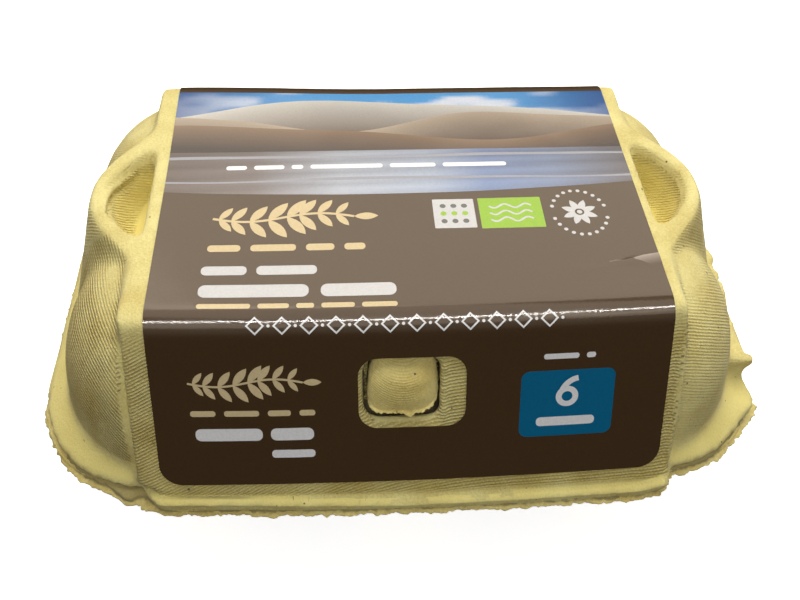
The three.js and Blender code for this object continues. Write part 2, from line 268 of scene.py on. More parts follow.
@dataclass(frozen=True)
class CartonPlan:
    """Sizes of the whole carton in millimetres, with those that the frame holds read from it."""

    top: float
    rim: float
    half_length: float
    half_depth: float
    gap: float = 0.3
    panel_half_length: float = 52.1
    panel_shift: float = -0.3
    panel_skew: float = 0.014
    top_half_depth: float = 34.6
    panel_slope: float = 0.486
    bulge_centre: tuple[float, float] = (46.0, 20.0)
    bulge_radii: tuple[float, float] = (23.8, 26.6)
    bulge_power: float = 2.25
    brim_top: float = 4.4
    corner_centre: tuple[float, float] = (51.0, 23.0)
    corner_inset: float = 4.2
    corner_start: float = 54.0
    step_start: float = 48.6
    latch_x: float = -1.7
    latch_drop: float = 12.6
    bow: float = 1.15
    bow_half: float = 51.0
    corner_lift: float = 1.1
    sag: float = 1.25
    fray: Swell = Swell(-33.4, 3.6, 2.2)
    fray_tail: Swell = Swell(-38.0, 8.0, 0.7)
    view_right: tuple[float, float, float] = (0.998, -0.06, 0.026)
    view_up: tuple[float, float, float] = (0.027, 0.745, 0.666)

    @classmethod
    def from_frame(cls) -> "CartonPlan":
        """Reads the lid's sizes from the frame.

        Returns:
            The plan.
        """
        low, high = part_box("lid")
        return cls(top=high.z / MM, rim=low.z / MM, half_length=high.x / MM,
                   half_depth=high.y / MM)

    @property
    def slope_angle(self) -> float:
        """Lean of a panel from the vertical, in radians."""
        return math.atan(self.panel_slope)

    def on_panel(self, x: np.ndarray, drop: np.ndarray, out: np.ndarray) -> np.ndarray:
        """Points on the front panel.

        Args:
            x: how far right they are.
            drop: how far under the flat top they are.
            out: how far they stand out of the panel's face.

        Returns:
            The points, one row each.
        """
        angle = self.slope_angle
        y = -self.top_half_depth - drop * self.panel_slope - out * math.cos(angle)
        z = self.top - drop + out * math.sin(angle)
        return np.stack([x, y, z], axis=-1)

    def bowed(self, points: np.ndarray) -> np.ndarray:
        """The same points with the front's middle bowed out and the back's left corner lifted.

        Args:
            points: the points, one row each.

        Returns:
            The bent points.
        """
        x, y, z = points.T
        share = np.maximum(1.0 - (x / self.bow_half) ** 2, 0.0) * smoothstep(-6, -34, y)
        corner = smoothstep(0, -50, x) * smoothstep(2, 34, y) * smoothstep(40, 66, z)
        return (points - np.outer(self.bow * share, [0.0, 1.0, 0.0])
                + np.outer(self.corner_lift * corner, [0.0, 0.0, 1.0]))

    def seen(self, points: np.ndarray) -> tuple[np.ndarray, np.ndarray]:
        """Places to the right and up across the directions that the screen was stretched in."""
        return points @ np.array(self.view_right), points @ np.array(self.view_up)

    def sagging(self, x: np.ndarray) -> np.ndarray:
        """How far the front's rim sags, more towards the right."""
        return self.sag * smoothstep(-46, 6, x) * smoothstep(50, 45, x)

    def frayed_end(self, points: np.ndarray) -> np.ndarray:
        """How far the rim's frayed right end, where it turns towards the front, hangs out.

        Args:
            points: the points, one row each.

        Returns:
            How far each point hangs out.
        """
        y = points[:, 1]
        ragged = 1 + 0.22 * noise_at(points, 2.6, 17.0) + 0.16 * noise_at(points, 1.2, 18.0)
        return (self.fray.at(y) * ragged + self.fray_tail.at(y)) * (points[:, 0] > 0)

    def rim_path(self, count: int, fine: int = 60) -> tuple[np.ndarray, np.ndarray]:
        """The rim's plan as evenly spaced points, from the front's middle to the right.

        Args:
            count: how many points it has.
            fine: how many points each curve is first drawn with.

        Returns:
            The points and their outward directions, two numbers a row.
        """
        end, front = self.half_length, self.half_depth
        centre_x, centre_y = self.corner_centre
        radius_x = end - centre_x
        radius_y = front - self.corner_inset - centre_y
        start = math.acos((self.corner_start - centre_x) / radius_x)
        corner = centre_y + radius_y * math.sin(start)
        t = np.linspace(0.0, 1.0, fine)
        middle = (self.step_start + self.corner_start) / 2
        handles = np.array([(self.step_start, -front), (middle, -front), (middle, -corner),
                            (self.corner_start, -corner)])
        shares = [(1 - t) ** 3, 3 * t * (1 - t) ** 2, 3 * t**2 * (1 - t), t**3]
        step = np.stack(shares, 1) @ handles
        turn = np.linspace(-start, 0.0, fine)
        arc = np.stack([centre_x + radius_x * np.cos(turn), -centre_y + radius_y * np.sin(turn)], 1)
        quarter = np.vstack([[0.0, -front], step, arc[1:], [end, 0.0]])
        right = np.vstack([quarter, (quarter * [1, -1])[::-1][1:]])
        whole = np.vstack([right, (right * [-1, 1])[::-1][1:]])
        length = np.concatenate([[0.0], np.cumsum(np.hypot(*np.diff(whole, axis=0).T))])
        at = np.linspace(0.0, length[-1], count, endpoint=False)
        points = np.stack([np.interp(at, length, whole[:, k]) for k in range(2)], 1)
        along = np.roll(points, -1, 0) - np.roll(points, 1, 0)
        along /= np.linalg.norm(along, axis=1)[:, None]
        return points, np.stack([along[:, 1], -along[:, 0]], 1)


def in_pocket(points: np.ndarray, near: float, far: float, half: float,
              floor: float) -> np.ndarray:
    """Whether points lie in a box round the finger pocket of either end.

    Args:
        points: the points.
        near: the box's distance from the carton's middle.
        far: where the box ends.
        half: half the box's depth, from front to back.
        floor: the box's lower end.

    Returns:
        True for each point inside.
    """
    x, y, z = points.T
    return (np.abs(x) > near) & (np.abs(x) < far) & (np.abs(y) < half) & (z > floor)


class Region(Enum):
    """Where a point of the lid lies, which decides how the mould's screen marked it."""

    PLAIN = 0
    FRONT = 1
    BACK = 2
    BULGE = 3
    PILLAR = 4
    POCKET = 5


# Shader nodes

class NodeMaker:
    """Adds shader nodes to one node tree and joins them."""

    def __init__(self, tree: bpy.types.NodeTree) -> None:
        """Works in this tree."""
        self.tree = tree

    def feed(self, entry: bpy.types.NodeSocket, value: object) -> None:
        """Joins an output to an input, or sets the input to a value.

        Args:
            entry: the input.
            value: the output, or the value.
        """
        if isinstance(value, bpy.types.NodeSocket):
            self.tree.links.new(value, entry)
        else:
            entry.default_value = value

    def node(self, kind: str, inputs: dict | None = None, **settings: object) -> bpy.types.Node:
        """Adds a node.

        Args:
            kind: its type, without ShaderNode in front.
            inputs: what feeds each input, a socket or a value.
            settings: the node's own settings.

        Returns:
            The node.
        """
        made = self.tree.nodes.new("ShaderNode" + kind)
        for key, value in settings.items():
            setattr(made, key, value)
        for key, value in (inputs or {}).items():
            self.feed(made.inputs[key], value)
        return made

    def math(self, operation: str, *terms: object) -> bpy.types.NodeSocket:
        """The result of a Math node that is fed by sockets or numbers."""
        return self.node("Math", dict(enumerate(terms)), operation=operation).outputs[0]

    def noise(self, place: bpy.types.NodeSocket, scale: object, detail: float = 2.0,
              roughness: float = 0.5) -> bpy.types.NodeSocket:
        """Noise from 0 to 1 with so many lumps a metre."""
        inputs = {"Vector": place, "Scale": scale, "Detail": detail, "Roughness": roughness}
        return self.node("TexNoise", inputs).outputs["Fac"]

    def spread(self, value: bpy.types.NodeSocket, low: float, high: float,
               to_low: float = 0.0, to_high: float = 1.0) -> bpy.types.NodeSocket:
        """A value whose range from low to high is stretched over another.

        Args:
            value: the socket that gives the value.
            low: the start of its range.
            high: the end of its range.
            to_low: what the start becomes.
            to_high: what the end becomes.

        Returns:
            The stretched value's socket.
        """
        inputs = {"Value": value, "From Min": low, "From Max": high, "To Min": to_low,
                  "To Max": to_high}
        return self.node("MapRange", inputs).outputs[0]

    def mix(self, factor: bpy.types.NodeSocket, first: object, second: Colour,
            clamp: bool = True) -> bpy.types.NodeSocket:
        """A blend of two colours, the first of them a socket or a colour.

        Args:
            factor: the share of the second colour.
            first: the first colour, or the socket that gives it.
            second: the second colour.
            clamp: whether the share is kept between 0 and 1.

        Returns:
            The blend's socket.
        """
        start = (*first, 1.0) if isinstance(first, tuple) else first
        inputs = {"Factor": factor, "A": start, "B": (*second, 1.0)}
        made = self.node("Mix", inputs, data_type="RGBA", clamp_factor=clamp)
        return made.outputs["Result"]

    def bump(self, height: bpy.types.NodeSocket, depth: float,
             under: bpy.types.NodeSocket | None = None) -> bpy.types.NodeSocket:
        """A normal bent by a relief of this depth in millimetres, over another normal.

        Args:
            height: the socket that gives the relief.
            depth: how deep it is.
            under: the normal that it lies on.

        Returns:
            The bent normal's socket.
        """
        inputs = {"Distance": depth * MM, "Height": height}
        if under is not None:
            inputs["Normal"] = under
        return self.node("Bump", inputs).outputs[0]

    def surface(self, inputs: dict) -> None:
        """Feeds the material's own Principled node.

        Args:
            inputs: what feeds each input, a socket or a value.
        """
        shader = self.tree.nodes["Principled BSDF"]
        for key, value in inputs.items():
            self.feed(shader.inputs[key], value)


class GroupMaker(NodeMaker):
    """Builds one shader node group."""

    def __init__(self, name: str, inward: dict[str, float | None], outward: list[str]) -> None:
        """Starts a group.

        Args:
            name: the group's name.
            inward: the default of each input, None for a vector.
            outward: its outputs, all of them numbers.
        """
        super().__init__(bpy.data.node_groups.new(name, "ShaderNodeTree"))
        for key, default in inward.items():
            kind = "NodeSocketVector" if default is None else "NodeSocketFloat"
            made = self.tree.interface.new_socket(name=key, in_out="INPUT", socket_type=kind)
            if default is not None:
                made.default_value = default
        for key in outward:
            self.tree.interface.new_socket(name=key, in_out="OUTPUT", socket_type="NodeSocketFloat")
        self.entry = self.tree.nodes.new("NodeGroupInput").outputs
        self.exit = self.tree.nodes.new("NodeGroupOutput").inputs


def screen_imprint_group() -> bpy.types.NodeTree:
    """The relief that the mould's wire screen leaves: rows of short knots.

    Returns:
        A group with inputs Screen, a vector of place along the rows, place across them
        and strength, Pitch and Knots, and the output Height from -1 to 1.
    """
    g = GroupMaker("ScreenImprint", {"Screen": None, "Pitch": 0.62, "Knots": 0.36}, ["Height"])
    screen = g.node("SeparateXYZ", {0: g.entry["Screen"]}).outputs
    place = g.node("TexCoord").outputs["Object"]
    wander = g.noise(place, 420.0, detail=1.0)
    drift = g.math("MULTIPLY", g.math("SUBTRACT", wander, 0.5), 0.24)
    turn = g.math("DIVIDE", 2 * math.pi, g.entry["Pitch"])
    across = g.math("MULTIPLY", g.math("ADD", screen["Y"], drift), turn)
    along = g.math("MULTIPLY", g.math("ADD", screen["X"], drift), turn)
    rows = g.math("SINE", across)
    half = g.math("SINE", g.math("MULTIPLY", across, 0.5))
    stagger = g.math("MULTIPLY", g.math("SIGN", half), math.pi / 2)
    knots = g.math("SINE", g.math("ADD", g.math("MULTIPLY", along, 0.8), stagger))
    share = g.math("MULTIPLY", knots, g.entry["Knots"])
    woven = g.math("ADD", rows, g.math("MULTIPLY", share, g.math("ADD", rows, 0.6)))
    fade = g.spread(g.noise(place, 160.0), 0.32, 0.62, 0.6, 1.0)
    strength = g.math("MULTIPLY", screen["Z"], fade)
    g.feed(g.exit["Height"], g.math("MULTIPLY", woven, strength))
    return g.tree


def pulp_grain_group() -> bpy.types.NodeTree:
    """The grain of moulded pulp: mottling, matted fibres, dark specks and dark hairs.

    Returns:
        A group with the inputs Grain, the size of the finest lumps in millimetres, and
        Specks, and the outputs Mottle and Dark, masks from 0 to 1, and Height.
    """
    g = GroupMaker("PulpGrain", {"Grain": 0.45, "Specks": 0.5}, ["Mottle", "Dark", "Height"])
    place = g.node("TexCoord").outputs["Object"]

    def hairs(turn: tuple[float, float, float], width: float, scale: float,
              detail: float) -> bpy.types.NodeSocket:
        """Noise that is drawn out into long hairs."""
        stretch = {"Vector": place, "Rotation": turn, "Scale": (1.0, width, 1.0)}
        return g.noise(g.node("Mapping", stretch).outputs[0], scale, detail)

    fine = g.noise(place, g.math("DIVIDE", 1 / MM, g.entry["Grain"]), 3.0, 0.6)
    broad = g.noise(place, 110.0, 4.0)
    matted = g.math("MAXIMUM", *(hairs((a, a * 0.7, a * 1.3), 0.16, 2600.0, 1.0)
                                 for a in (0.5, 2.1)))
    dots = g.node("TexVoronoi", {"Vector": place, "Scale": 420.0}).outputs
    draw = g.node("SeparateColor", {0: dots["Color"]}).outputs
    near = g.math("LESS_THAN", dots["Distance"], g.math("MULTIPLY", draw[1], 0.13))
    chosen = g.math("LESS_THAN", draw[0], g.entry["Specks"])
    thin = g.math("GREATER_THAN", hairs((0.3, 1.1, 0.4), 0.14, 1300.0, 2.0), 0.745)
    dark = g.math("MAXIMUM", g.math("MULTIPLY", near, chosen), g.math("MULTIPLY", thin, 0.6))
    g.feed(g.exit["Dark"], dark)
    fine_part = g.math("MULTIPLY", fine, 0.4)
    g.feed(g.exit["Mottle"], g.math("ADD", g.math("MULTIPLY", broad, 0.6), fine_part))
    matted_part = g.math("MULTIPLY", matted, 0.4)
    g.feed(g.exit["Height"], g.math("ADD", g.math("MULTIPLY", fine, 0.6), matted_part))
    return g.tree


# Finishes

def new_material(name: str) -> tuple[bpy.types.Material, NodeMaker]:
    """An empty material and the maker of its nodes.

    Args:
        name: the material's name.

    Returns:
        The material and its node maker.
    """
    made = bpy.data.materials.new(name)
    made.use_nodes = True
    return made, NodeMaker(made.node_tree)


@dataclass(frozen=True)
class PulpFinish:
    """Moulded pulp of one tone.

    Attributes:
        name: the material's name.
        pale: the paler end of the pulp's tone, linear, for its pale mottling and the painted highlight
            on the imprint's ridges.
        deep: the darker end, for its dark mottling, the painted shade in the imprint's grooves and on
            imprinted faces.
        speck: colour of the dark specks and hairs.
        shade_colour: colour of the painted shade that recesses and hidden parts tend to, such as warm
            interreflected light.
        imprint: depth of the screen's imprint in millimetres.
        grain: depth of the grain in millimetres.
        specks: share of the cells that hold a speck.
        shade: painted shade: how much darker the imprinted faces are, as if shadowed by their imprint.
        ridge: painted light and shade along the imprint's rows: how much paler its ridges and darker
            its grooves are.
    """

    name: str
    pale: Colour
    deep: Colour
    speck: Colour = (0.16, 0.12, 0.05)
    shade_colour: Colour = (0.88, 0.76, 0.25)
    imprint: float = 0.125
    grain: float = 0.13
    specks: float = 0.3
    shade: float = 0.4
    ridge: float = 0.46
    roughness: float = 0.88

    def material(self, imprint: bpy.types.NodeTree, grain: bpy.types.NodeTree) -> bpy.types.Material:
        """Builds the material round the two shared groups.

        Args:
            imprint: the group of the screen's imprint.
            grain: the group of the pulp's grain.

        Returns:
            The material.
        """
        made, g = new_material(self.name)
        screen = g.node("Attribute", attribute_name="screen").outputs["Vector"]
        rows = g.node("Group", {"Screen": screen}, node_tree=imprint).outputs["Height"]
        lumps = g.node("Group", {"Specks": self.specks}, node_tree=grain).outputs
        strength = g.node("SeparateXYZ", {0: screen}).outputs["Z"]
        # Painted shade: imprinted faces are made darker, as if shadowed by their imprint, on top of the
        # pulp's real mottling.
        shade = g.math("MULTIPLY_ADD", strength, -self.shade, g.spread(lumps["Mottle"], 0.34, 0.62))
        # Painted light and shade along the imprint's rows: paler ridges, darker grooves.
        factor = g.math("MULTIPLY_ADD", rows, self.ridge, shade)
        tone = g.mix(factor, self.deep, self.pale, clamp=False)
        # Painted shade: a blend towards the shade colour, warm interreflected light in the lid's
        # recesses and near-black shadow on the tray's hidden parts.
        painted_shade = g.node("Attribute", attribute_name="painted_shade").outputs["Fac"]
        with_painted_shade = g.mix(painted_shade, tone, self.shade_colour)
        g.surface({
            "Base Color": g.mix(lumps["Dark"], with_painted_shade, self.speck),
            "Normal": g.bump(rows, self.imprint, g.bump(lumps["Height"], self.grain)),
            "Roughness": self.roughness, "Specular IOR Level": 0.25,
            "Sheen Weight": 0.12, "Sheen Roughness": 0.6})
        return made


@dataclass(frozen=True)
class PaperFinish:
    """Printed paper with a satin coating, whose ink colours lie in the mesh."""

    name: str
    roughness: float = 0.13
    ripple: float = 0.012

    def material(self) -> bpy.types.Material:
        """Builds the material.

        Returns:
            The material.
        """
        made, g = new_material(self.name)
        place = g.node("TexCoord").outputs["Object"]
        grain = g.noise(place, 2400.0)
        ink = g.node("Attribute", attribute_name="print").outputs["Color"]
        mottled = {0: ink, "Scale": g.spread(grain, 0.3, 0.7, 0.95, 1.05)}
        wear = g.noise(place, 70.0, detail=5.0)
        g.surface({
            "Base Color": g.node("VectorMath", mottled, operation="SCALE").outputs[0],
            "Roughness": g.spread(wear, 0.3, 0.7, self.roughness - 0.03, self.roughness + 0.04),
            "Normal": g.bump(grain, self.ripple), "Specular IOR Level": 0.62})
        return made


# The lid

@dataclass
class LidShell:
    """The lid: its skin is the solid's, with soft moulded corners, creases and an imprint.

    Attributes:
        voxel: the size of the skin's squares.
        fillet_rounds: how often the skin is smoothed, which rounds its corners.
        unevenness: height of the pulp's broad waves.
        ripple: height of its small waves.
        left_folds: the ridge and the valley along the front panel's left edge.
        right_folds: the ridge and the valleys along its right edge.
        lip_side: the swelling at the right of the latch's hole, across the panel.
        lip_foot: the swelling under the hole, down the panel.
        lip_height: how high both swellings are.
        hem_step: how far the flange at a panel's foot stands out.
        ledge: the torn ledge and the dip under it in the left pocket.
        end_lean: how far the raised rim at each end leans out.
        broken_end: how far it is broken back at the right end.
        dent: where the brim's front-left corner is pushed in.
        left_row_angle: how steeply the screen's rows run at the front panel's left.
        right_row_angle: how steeply they run at its right.
        region_strengths: how strongly the screen pressed each region, which also sets how much painted
            shade its faces get.
        hollow_rounds: how often the skin is smoothed to find its recesses, which get painted shade.
        painted_shade_depth: the depth at which a recess gets the full painted shade.
        crack: the course of the ledge in the left pocket.
    """

    plan: CartonPlan
    voxel: float = 0.6
    fillet_rounds: int = 14
    unevenness: float = 0.11
    ripple: float = 0.05
    left_folds: tuple[Swell, ...] = (Swell(-2.2, 1.7, 0.35), Swell(0.0, 0.65, -1.5))
    right_folds: tuple[Swell, ...] = (
        Swell(0.0, 0.55, 0.5), Swell(-1.8, 0.9, -0.3), Swell(1.9, 1.1, -0.35))
    lip_side: Swell = Swell(7.7, 0.6)
    lip_foot: Swell = Swell(20.3, 0.6, 0.6)
    lip_height: float = 0.42
    hem_step: float = 1.5
    ledge: tuple[Swell, ...] = (Swell(0.1, 0.6, 0.42), Swell(-0.9, 0.6, -0.55))
    end_lean: float = 0.9
    broken_end: float = 2.0
    dent: Swell = Swell(-50.8, 1.8, 1.9)
    left_row_angle: float = math.radians(28)
    right_row_angle: float = math.radians(2)
    region_strengths: tuple[tuple[Region, float], ...] = (
        (Region.FRONT, 1.0), (Region.BACK, 0.5), (Region.BULGE, 0.52), (Region.PILLAR, 0.4),
        (Region.POCKET, 1.0))
    hollow_rounds: int = 110
    painted_shade_depth: float = 1.1
    crack: tuple[tuple[float, float, float], ...] = (
        (-59.1, -6.4, 68.4), (-59.2, -1.0, 67.9), (-59.0, 1.1, 67.5), (-58.6, 2.8, 67.2),
        (-57.8, 4.7, 66.5), (-56.7, 6.8, 66.1), (-55.4, 8.6, 65.8))

    def build(self) -> bpy.types.Object:
        """Makes the lid's skin and marks where the screen pressed it.

        Returns:
            The piece.
        """
        lid = remeshed_copy(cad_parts["lid"], "lid_shell", self.voxel)
        mesh = lid.data
        edges = read_edges(mesh)
        points = smoothed(read_points(mesh), edges, self.fillet_rounds)
        write_points(mesh, points)
        points = self.worn(points, read_normals(mesh))
        write_points(mesh, points)
        normals = read_normals(mesh)
        store(mesh, "screen", self.screen(points, normals, edges))
        # Painted shade: how much of the shade colour each point gets.
        store(mesh, "painted_shade", self.painted_shade_shares(points, normals, edges))
        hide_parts("lid")
        return lid

    def panel_edge(self, y: np.ndarray, side: int) -> np.ndarray:
        """Where a panel ends at a side, which drifts with the depth."""
        plan = self.plan
        return plan.panel_shift + plan.panel_skew * y + side * plan.panel_half_length

    def worn(self, points: np.ndarray, normals: np.ndarray) -> np.ndarray:
        """Adds the unevenness of the pulp, its creases and its torn edges.

        Args:
            points: the smooth skin's points.
            normals: their outward directions.

        Returns:
            The worn skin's points.
        """
        x, y, z = points.T
        plan = self.plan
        covered = smoothstep(50.5, 48.5, np.abs(x)) * smoothstep(plan.rim + 3, plan.rim + 6, z)
        lift = self.unevenness * noise_at(points, 13.0, 1.0) * (1 - 0.75 * covered)
        lift += self.ripple * noise_at(points, 3.2, 2.0) * (1 - 0.5 * covered)
        lift += self.creases(points) + self.torn_face(points) + self.torn_pocket(points)
        shifts = self.hem(points) + self.torn_end(points) + self.bent_brim(points)
        return plan.bowed(points + normals * lift[:, None] + shifts)

    def creases(self, points: np.ndarray) -> np.ndarray:
        """The folds at the front panel's two sides, and the lip of the latch's hole.

        Args:
            points: the skin's points, one row each.

        Returns:
            How far each point is lifted.
        """
        x, y, z = points.T
        plan = self.plan
        slope = smoothstep(plan.rim + 3, plan.rim + 7, z) * smoothstep(-33, -36.5, y)
        lift = (total(self.left_folds, x - self.panel_edge(y, -1))
                + total(self.right_folds, x - self.panel_edge(y, 1)))
        drop, side = plan.top - z, x - plan.latch_x
        lip = self.lip_side.at(side) * smoothstep(7.5, 9, drop) * smoothstep(20, 18.6, drop)
        lip += self.lip_foot.at(drop) * smoothstep(8, 6, np.abs(side))
        ragged = 1.0 + 0.7 * noise_at(points, 1.3, 11.0)
        return slope * (lift + self.lip_height * lip * ragged)

    def hem(self, points: np.ndarray) -> np.ndarray:
        """The narrow flange at the foot of the front and back panels.

        Args:
            points: the skin's points, one row each.

        Returns:
            How far each point moves, three numbers a row.
        """
        x, y, z = points.T
        plan = self.plan
        panel = smoothstep(44, 47, np.abs(y)) * smoothstep(52.5, 49.5, np.abs(x))
        wall = plan.top_half_depth + (plan.top - z) * plan.panel_slope
        step = self.hem_step * smoothstep(plan.rim + 2.2, plan.rim + 1.5, z)
        goal = np.minimum(wall + step, plan.half_depth + 0.1)
        shift = np.zeros_like(points)
        low = smoothstep(plan.rim + 3.4, plan.rim + 2.6, z)
        shift[:, 1] = np.sign(y) * panel * low * (goal - np.abs(y))
        return shift

    def torn_face(self, points: np.ndarray) -> np.ndarray:
        """The rim's rough face.

        Args:
            points: the skin's points, one row each.

        Returns:
            How far each point is lifted.
        """
        plan = self.plan
        face = smoothstep(plan.rim + 2.0, plan.rim + 1.0, points[:, 2])
        return face * (0.2 * noise_at(points, 5.0, 12.0) + 0.26 * noise_at(points, 1.4, 13.0))

    def torn_pocket(self, points: np.ndarray) -> np.ndarray:
        """The torn ledge across the left pocket's wall.

        Args:
            points: the skin's points, one row each.

        Returns:
            How far each point is lifted.
        """
        plan = self.plan
        x = points[:, 0]
        lift = np.zeros(len(points))
        near = np.flatnonzero((x < 0) & in_pocket(points, 50.0, plan.half_length, 13.0, 52.0))
        patch = points[near]
        away = np.full(len(near), 99.0)
        over = np.zeros(len(near))
        line = np.array(self.crack)
        for a, b in zip(line, line[1:]):
            t = np.clip((patch - a) @ (b - a) / ((b - a) @ (b - a)), 0, 1)
            gap = patch - (a + t[:, None] * (b - a))
            far = np.linalg.norm(gap, axis=1)
            closer = far < away
            away = np.where(closer, far, away)
            over = np.where(closer, gap[:, 2] - 0.3 * gap[:, 0], over)
        side = np.sign(over) * away
        ragged = 1.0 + 0.4 * noise_at(patch, 1.8, 14.0)
        lift[near] = total(self.ledge, side) * ragged
        return lift

    def torn_end(self, points: np.ndarray) -> np.ndarray:
        """The raised rim at both ends, whose upper edge is torn and leans out.

        Args:
            points: the skin's points, one row each.

        Returns:
            How far each point moves, three numbers a row.
        """
        x, y, z = points.T
        plan = self.plan
        high = (smoothstep(69.5, 72.5, np.abs(x)) * smoothstep(31.5, 28, np.abs(y))
                * smoothstep(plan.rim + 4.5, plan.rim + 7.6, z))
        torn = 0.8 * noise_at(points, 3.4, 15.0) + 0.8 * noise_at(points, 1.5, 16.0)
        gap = smoothstep(-26.2, -25.2, y + 0.5 * torn) * smoothstep(-8, -15, y)
        bite = self.broken_end * (x > 0) * gap * (0.75 + 0.25 * torn)
        out = np.sign(x) * self.end_lean * (1 + torn) - bite
        along = 0.5 * smoothstep(24, 29, np.abs(y)) * np.sign(y) * torn
        return high[:, None] * np.stack([out, along, 0.55 * torn], 1)

    def bent_brim(self, points: np.ndarray) -> np.ndarray:
        """The brim where it hangs out at the right end and is dented and sags along the front.

        Args:
            points: the skin's points, one row each.

        Returns:
            How far each point moves, three numbers a row.
        """
        x, y, z = points.T
        plan = self.plan
        low = smoothstep(plan.rim + 4.0, plan.rim + 2.0, z)
        front = smoothstep(-44, -46, y)
        sag = plan.sagging(x)
        out = smoothstep(66, 74, x) * plan.frayed_end(points)
        return low[:, None] * np.stack(
            [out, front * (self.dent.at(x) - 0.3 * sag), -0.8 * front * sag], 1)

    def painted_shade_shares(self, points: np.ndarray, normals: np.ndarray, edges: np.ndarray) -> np.ndarray:
        """The share of painted shade at each point, from 0 to 1: a warm, saturated stand-in for
        interreflected light in recesses, pockets and on the brim.

        Args:
            points: the skin's points, one row each.
            normals: their outward directions.
            edges: pairs of neighbours.

        Returns:
            A share for each point.
        """
        plan = self.plan
        soft = smoothed(points, edges, self.hollow_rounds)
        depth = ((soft - points) * normals).sum(1)
        # Painted shade in concave places: the deeper a recess, the more of the shade colour.
        share = 0.3 * np.clip(depth / self.painted_shade_depth, 0, 1)
        x, y, z = points.T
        pocket = in_pocket(points, 49.5, 60.5, 13.5, 50.0)
        pocket &= (np.abs(x) < 57) | (normals[:, 0] * np.sign(x) < 0.1)
        # Painted shade inside the finger pockets, stronger further down.
        inner = 0.85 * pocket * smoothstep(plan.top - 1, plan.top - 5, z)
        share = np.maximum(share * (1 - pocket), inner)
        # Painted shade on the brim's upward faces at the foot of the walls.
        brim = smoothstep(plan.rim + 7, plan.rim + 4, z) * smoothstep(0.3, 0.8, normals[:, 2])
        return np.maximum(share, 0.6 * brim)

    def regions(self, points: np.ndarray, normals: np.ndarray) -> np.ndarray:
        """Which region each point lies in.

        Args:
            points: the skin's points, one row each.
            normals: their outward directions.

        Returns:
            The numbers.
        """
        plan = self.plan
        x, y, z = points.T
        found = np.full(len(points), Region.PLAIN.value)
        steep = normals[:, 2] < 0.86
        clear = z > plan.rim + plan.brim_top + 0.8
        inside = (x > self.panel_edge(y, -1)) & (x < self.panel_edge(y, 1))
        found[steep & (z > plan.rim + 1.4) & inside & (y < -30)] = Region.FRONT.value
        found[steep & clear & inside & (y > 0)] = Region.BACK.value
        radial = np.hypot((np.abs(x) - plan.bulge_centre[0]) / plan.bulge_radii[0],
                          (np.abs(y) - plan.bulge_centre[1]) / plan.bulge_radii[1])
        share = np.clip((z - plan.rim) / (plan.top - 0.7 - plan.rim), 0, 1)
        shell = radial**plan.bulge_power + share**plan.bulge_power
        bulge = ~inside & clear & (np.abs(shell - 1) < 0.3) & (np.abs(y) > 9)
        found[bulge] = Region.BULGE.value
        pocket = in_pocket(points, 50.0, 60.0, 13.0, 49.0) & (z < plan.top - 1.6)
        dip = pocket & ((normals[:, 0] * np.sign(x) < 0.35) | (np.abs(x) < 57.5))
        rest = ~inside & clear & ~bulge & ~dip & steep
        found[rest] = Region.PILLAR.value
        found[dip] = Region.POCKET.value
        return found

    def rows(self, points: np.ndarray, found: np.ndarray) -> tuple[np.ndarray, np.ndarray]:
        """Places along and across the screen's rows, which run differently in each region.

        Args:
            points: the skin's points.
            found: the region number of each.

        Returns:
            The places along the rows and those across them.
        """
        plan = self.plan
        x, y, z = points.T
        right, up = plan.seen(points)
        along = x.copy()
        across = (plan.top - z) / math.cos(plan.slope_angle)

        def lay(where: np.ndarray, new_along: np.ndarray, new_across: np.ndarray) -> None:
            """Sets both places of the points of one region."""
            along[where], across[where] = new_along[where], new_across[where]

        steps = np.linspace(-60, 60, 241)
        slopes = np.tan(self.right_row_angle + (self.left_row_angle - self.right_row_angle)
                        * smoothstep(25, -30, steps))
        climb = np.concatenate([[0], np.cumsum((slopes[1:] + slopes[:-1]) / 4)])
        lay(found == Region.FRONT.value, x, (across + np.interp(x, steps, climb)) / 1.1)
        bulge = found == Region.BULGE.value
        lay(bulge, right, 1.03 * (up + 0.08 * right))
        high = up - 11.5
        lay(bulge & (x < 0) & (y < 0), 0.83 * up - 0.53 * right,
            1.05 * (0.83 * right + 0.53 * up - 0.006 * high**2))
        behind = y > 6
        lay(found == Region.PILLAR.value, np.where(behind, y, right),
            np.where(behind, z, up + 0.12 * right))
        lay(found == Region.POCKET.value, right, 1.1 * up + 0.012 * (np.abs(x) - 52.0) ** 2)
        return along, across

    def strength(self, points: np.ndarray, found: np.ndarray) -> np.ndarray:
        """How strongly the screen pressed each point, which also sets how much painted shade its face
        gets.

        Args:
            points: the skin's points, one row each.
            found: the region number of each.

        Returns:
            The strengths, 1 for a full imprint.
        """
        plan = self.plan
        x, y, z = points.T
        pressed = np.zeros(len(points))
        for region, share in self.region_strengths:
            pressed[found == region.value] = share
        bulge = found == Region.BULGE.value
        low = smoothstep(plan.rim + 36, plan.rim + 10, z)
        pressed = np.where(bulge & (x < 0) & (y < 0), 0.75 + 0.5 * low, pressed)
        pressed = np.where(bulge & (x > 0), pressed * (1 - 0.5 * low), pressed)
        pressed[bulge & (y > 0)] = 0.3
        fading = smoothstep(0.5, 9, plan.top - z) * smoothstep(plan.rim + 1.8, plan.rim + 2.3, z)
        pressed = np.where(found == Region.FRONT.value, pressed * fading, pressed)
        return np.where(found == Region.PILLAR.value, pressed * (1 - hump(y - 6, 1.5)), pressed)

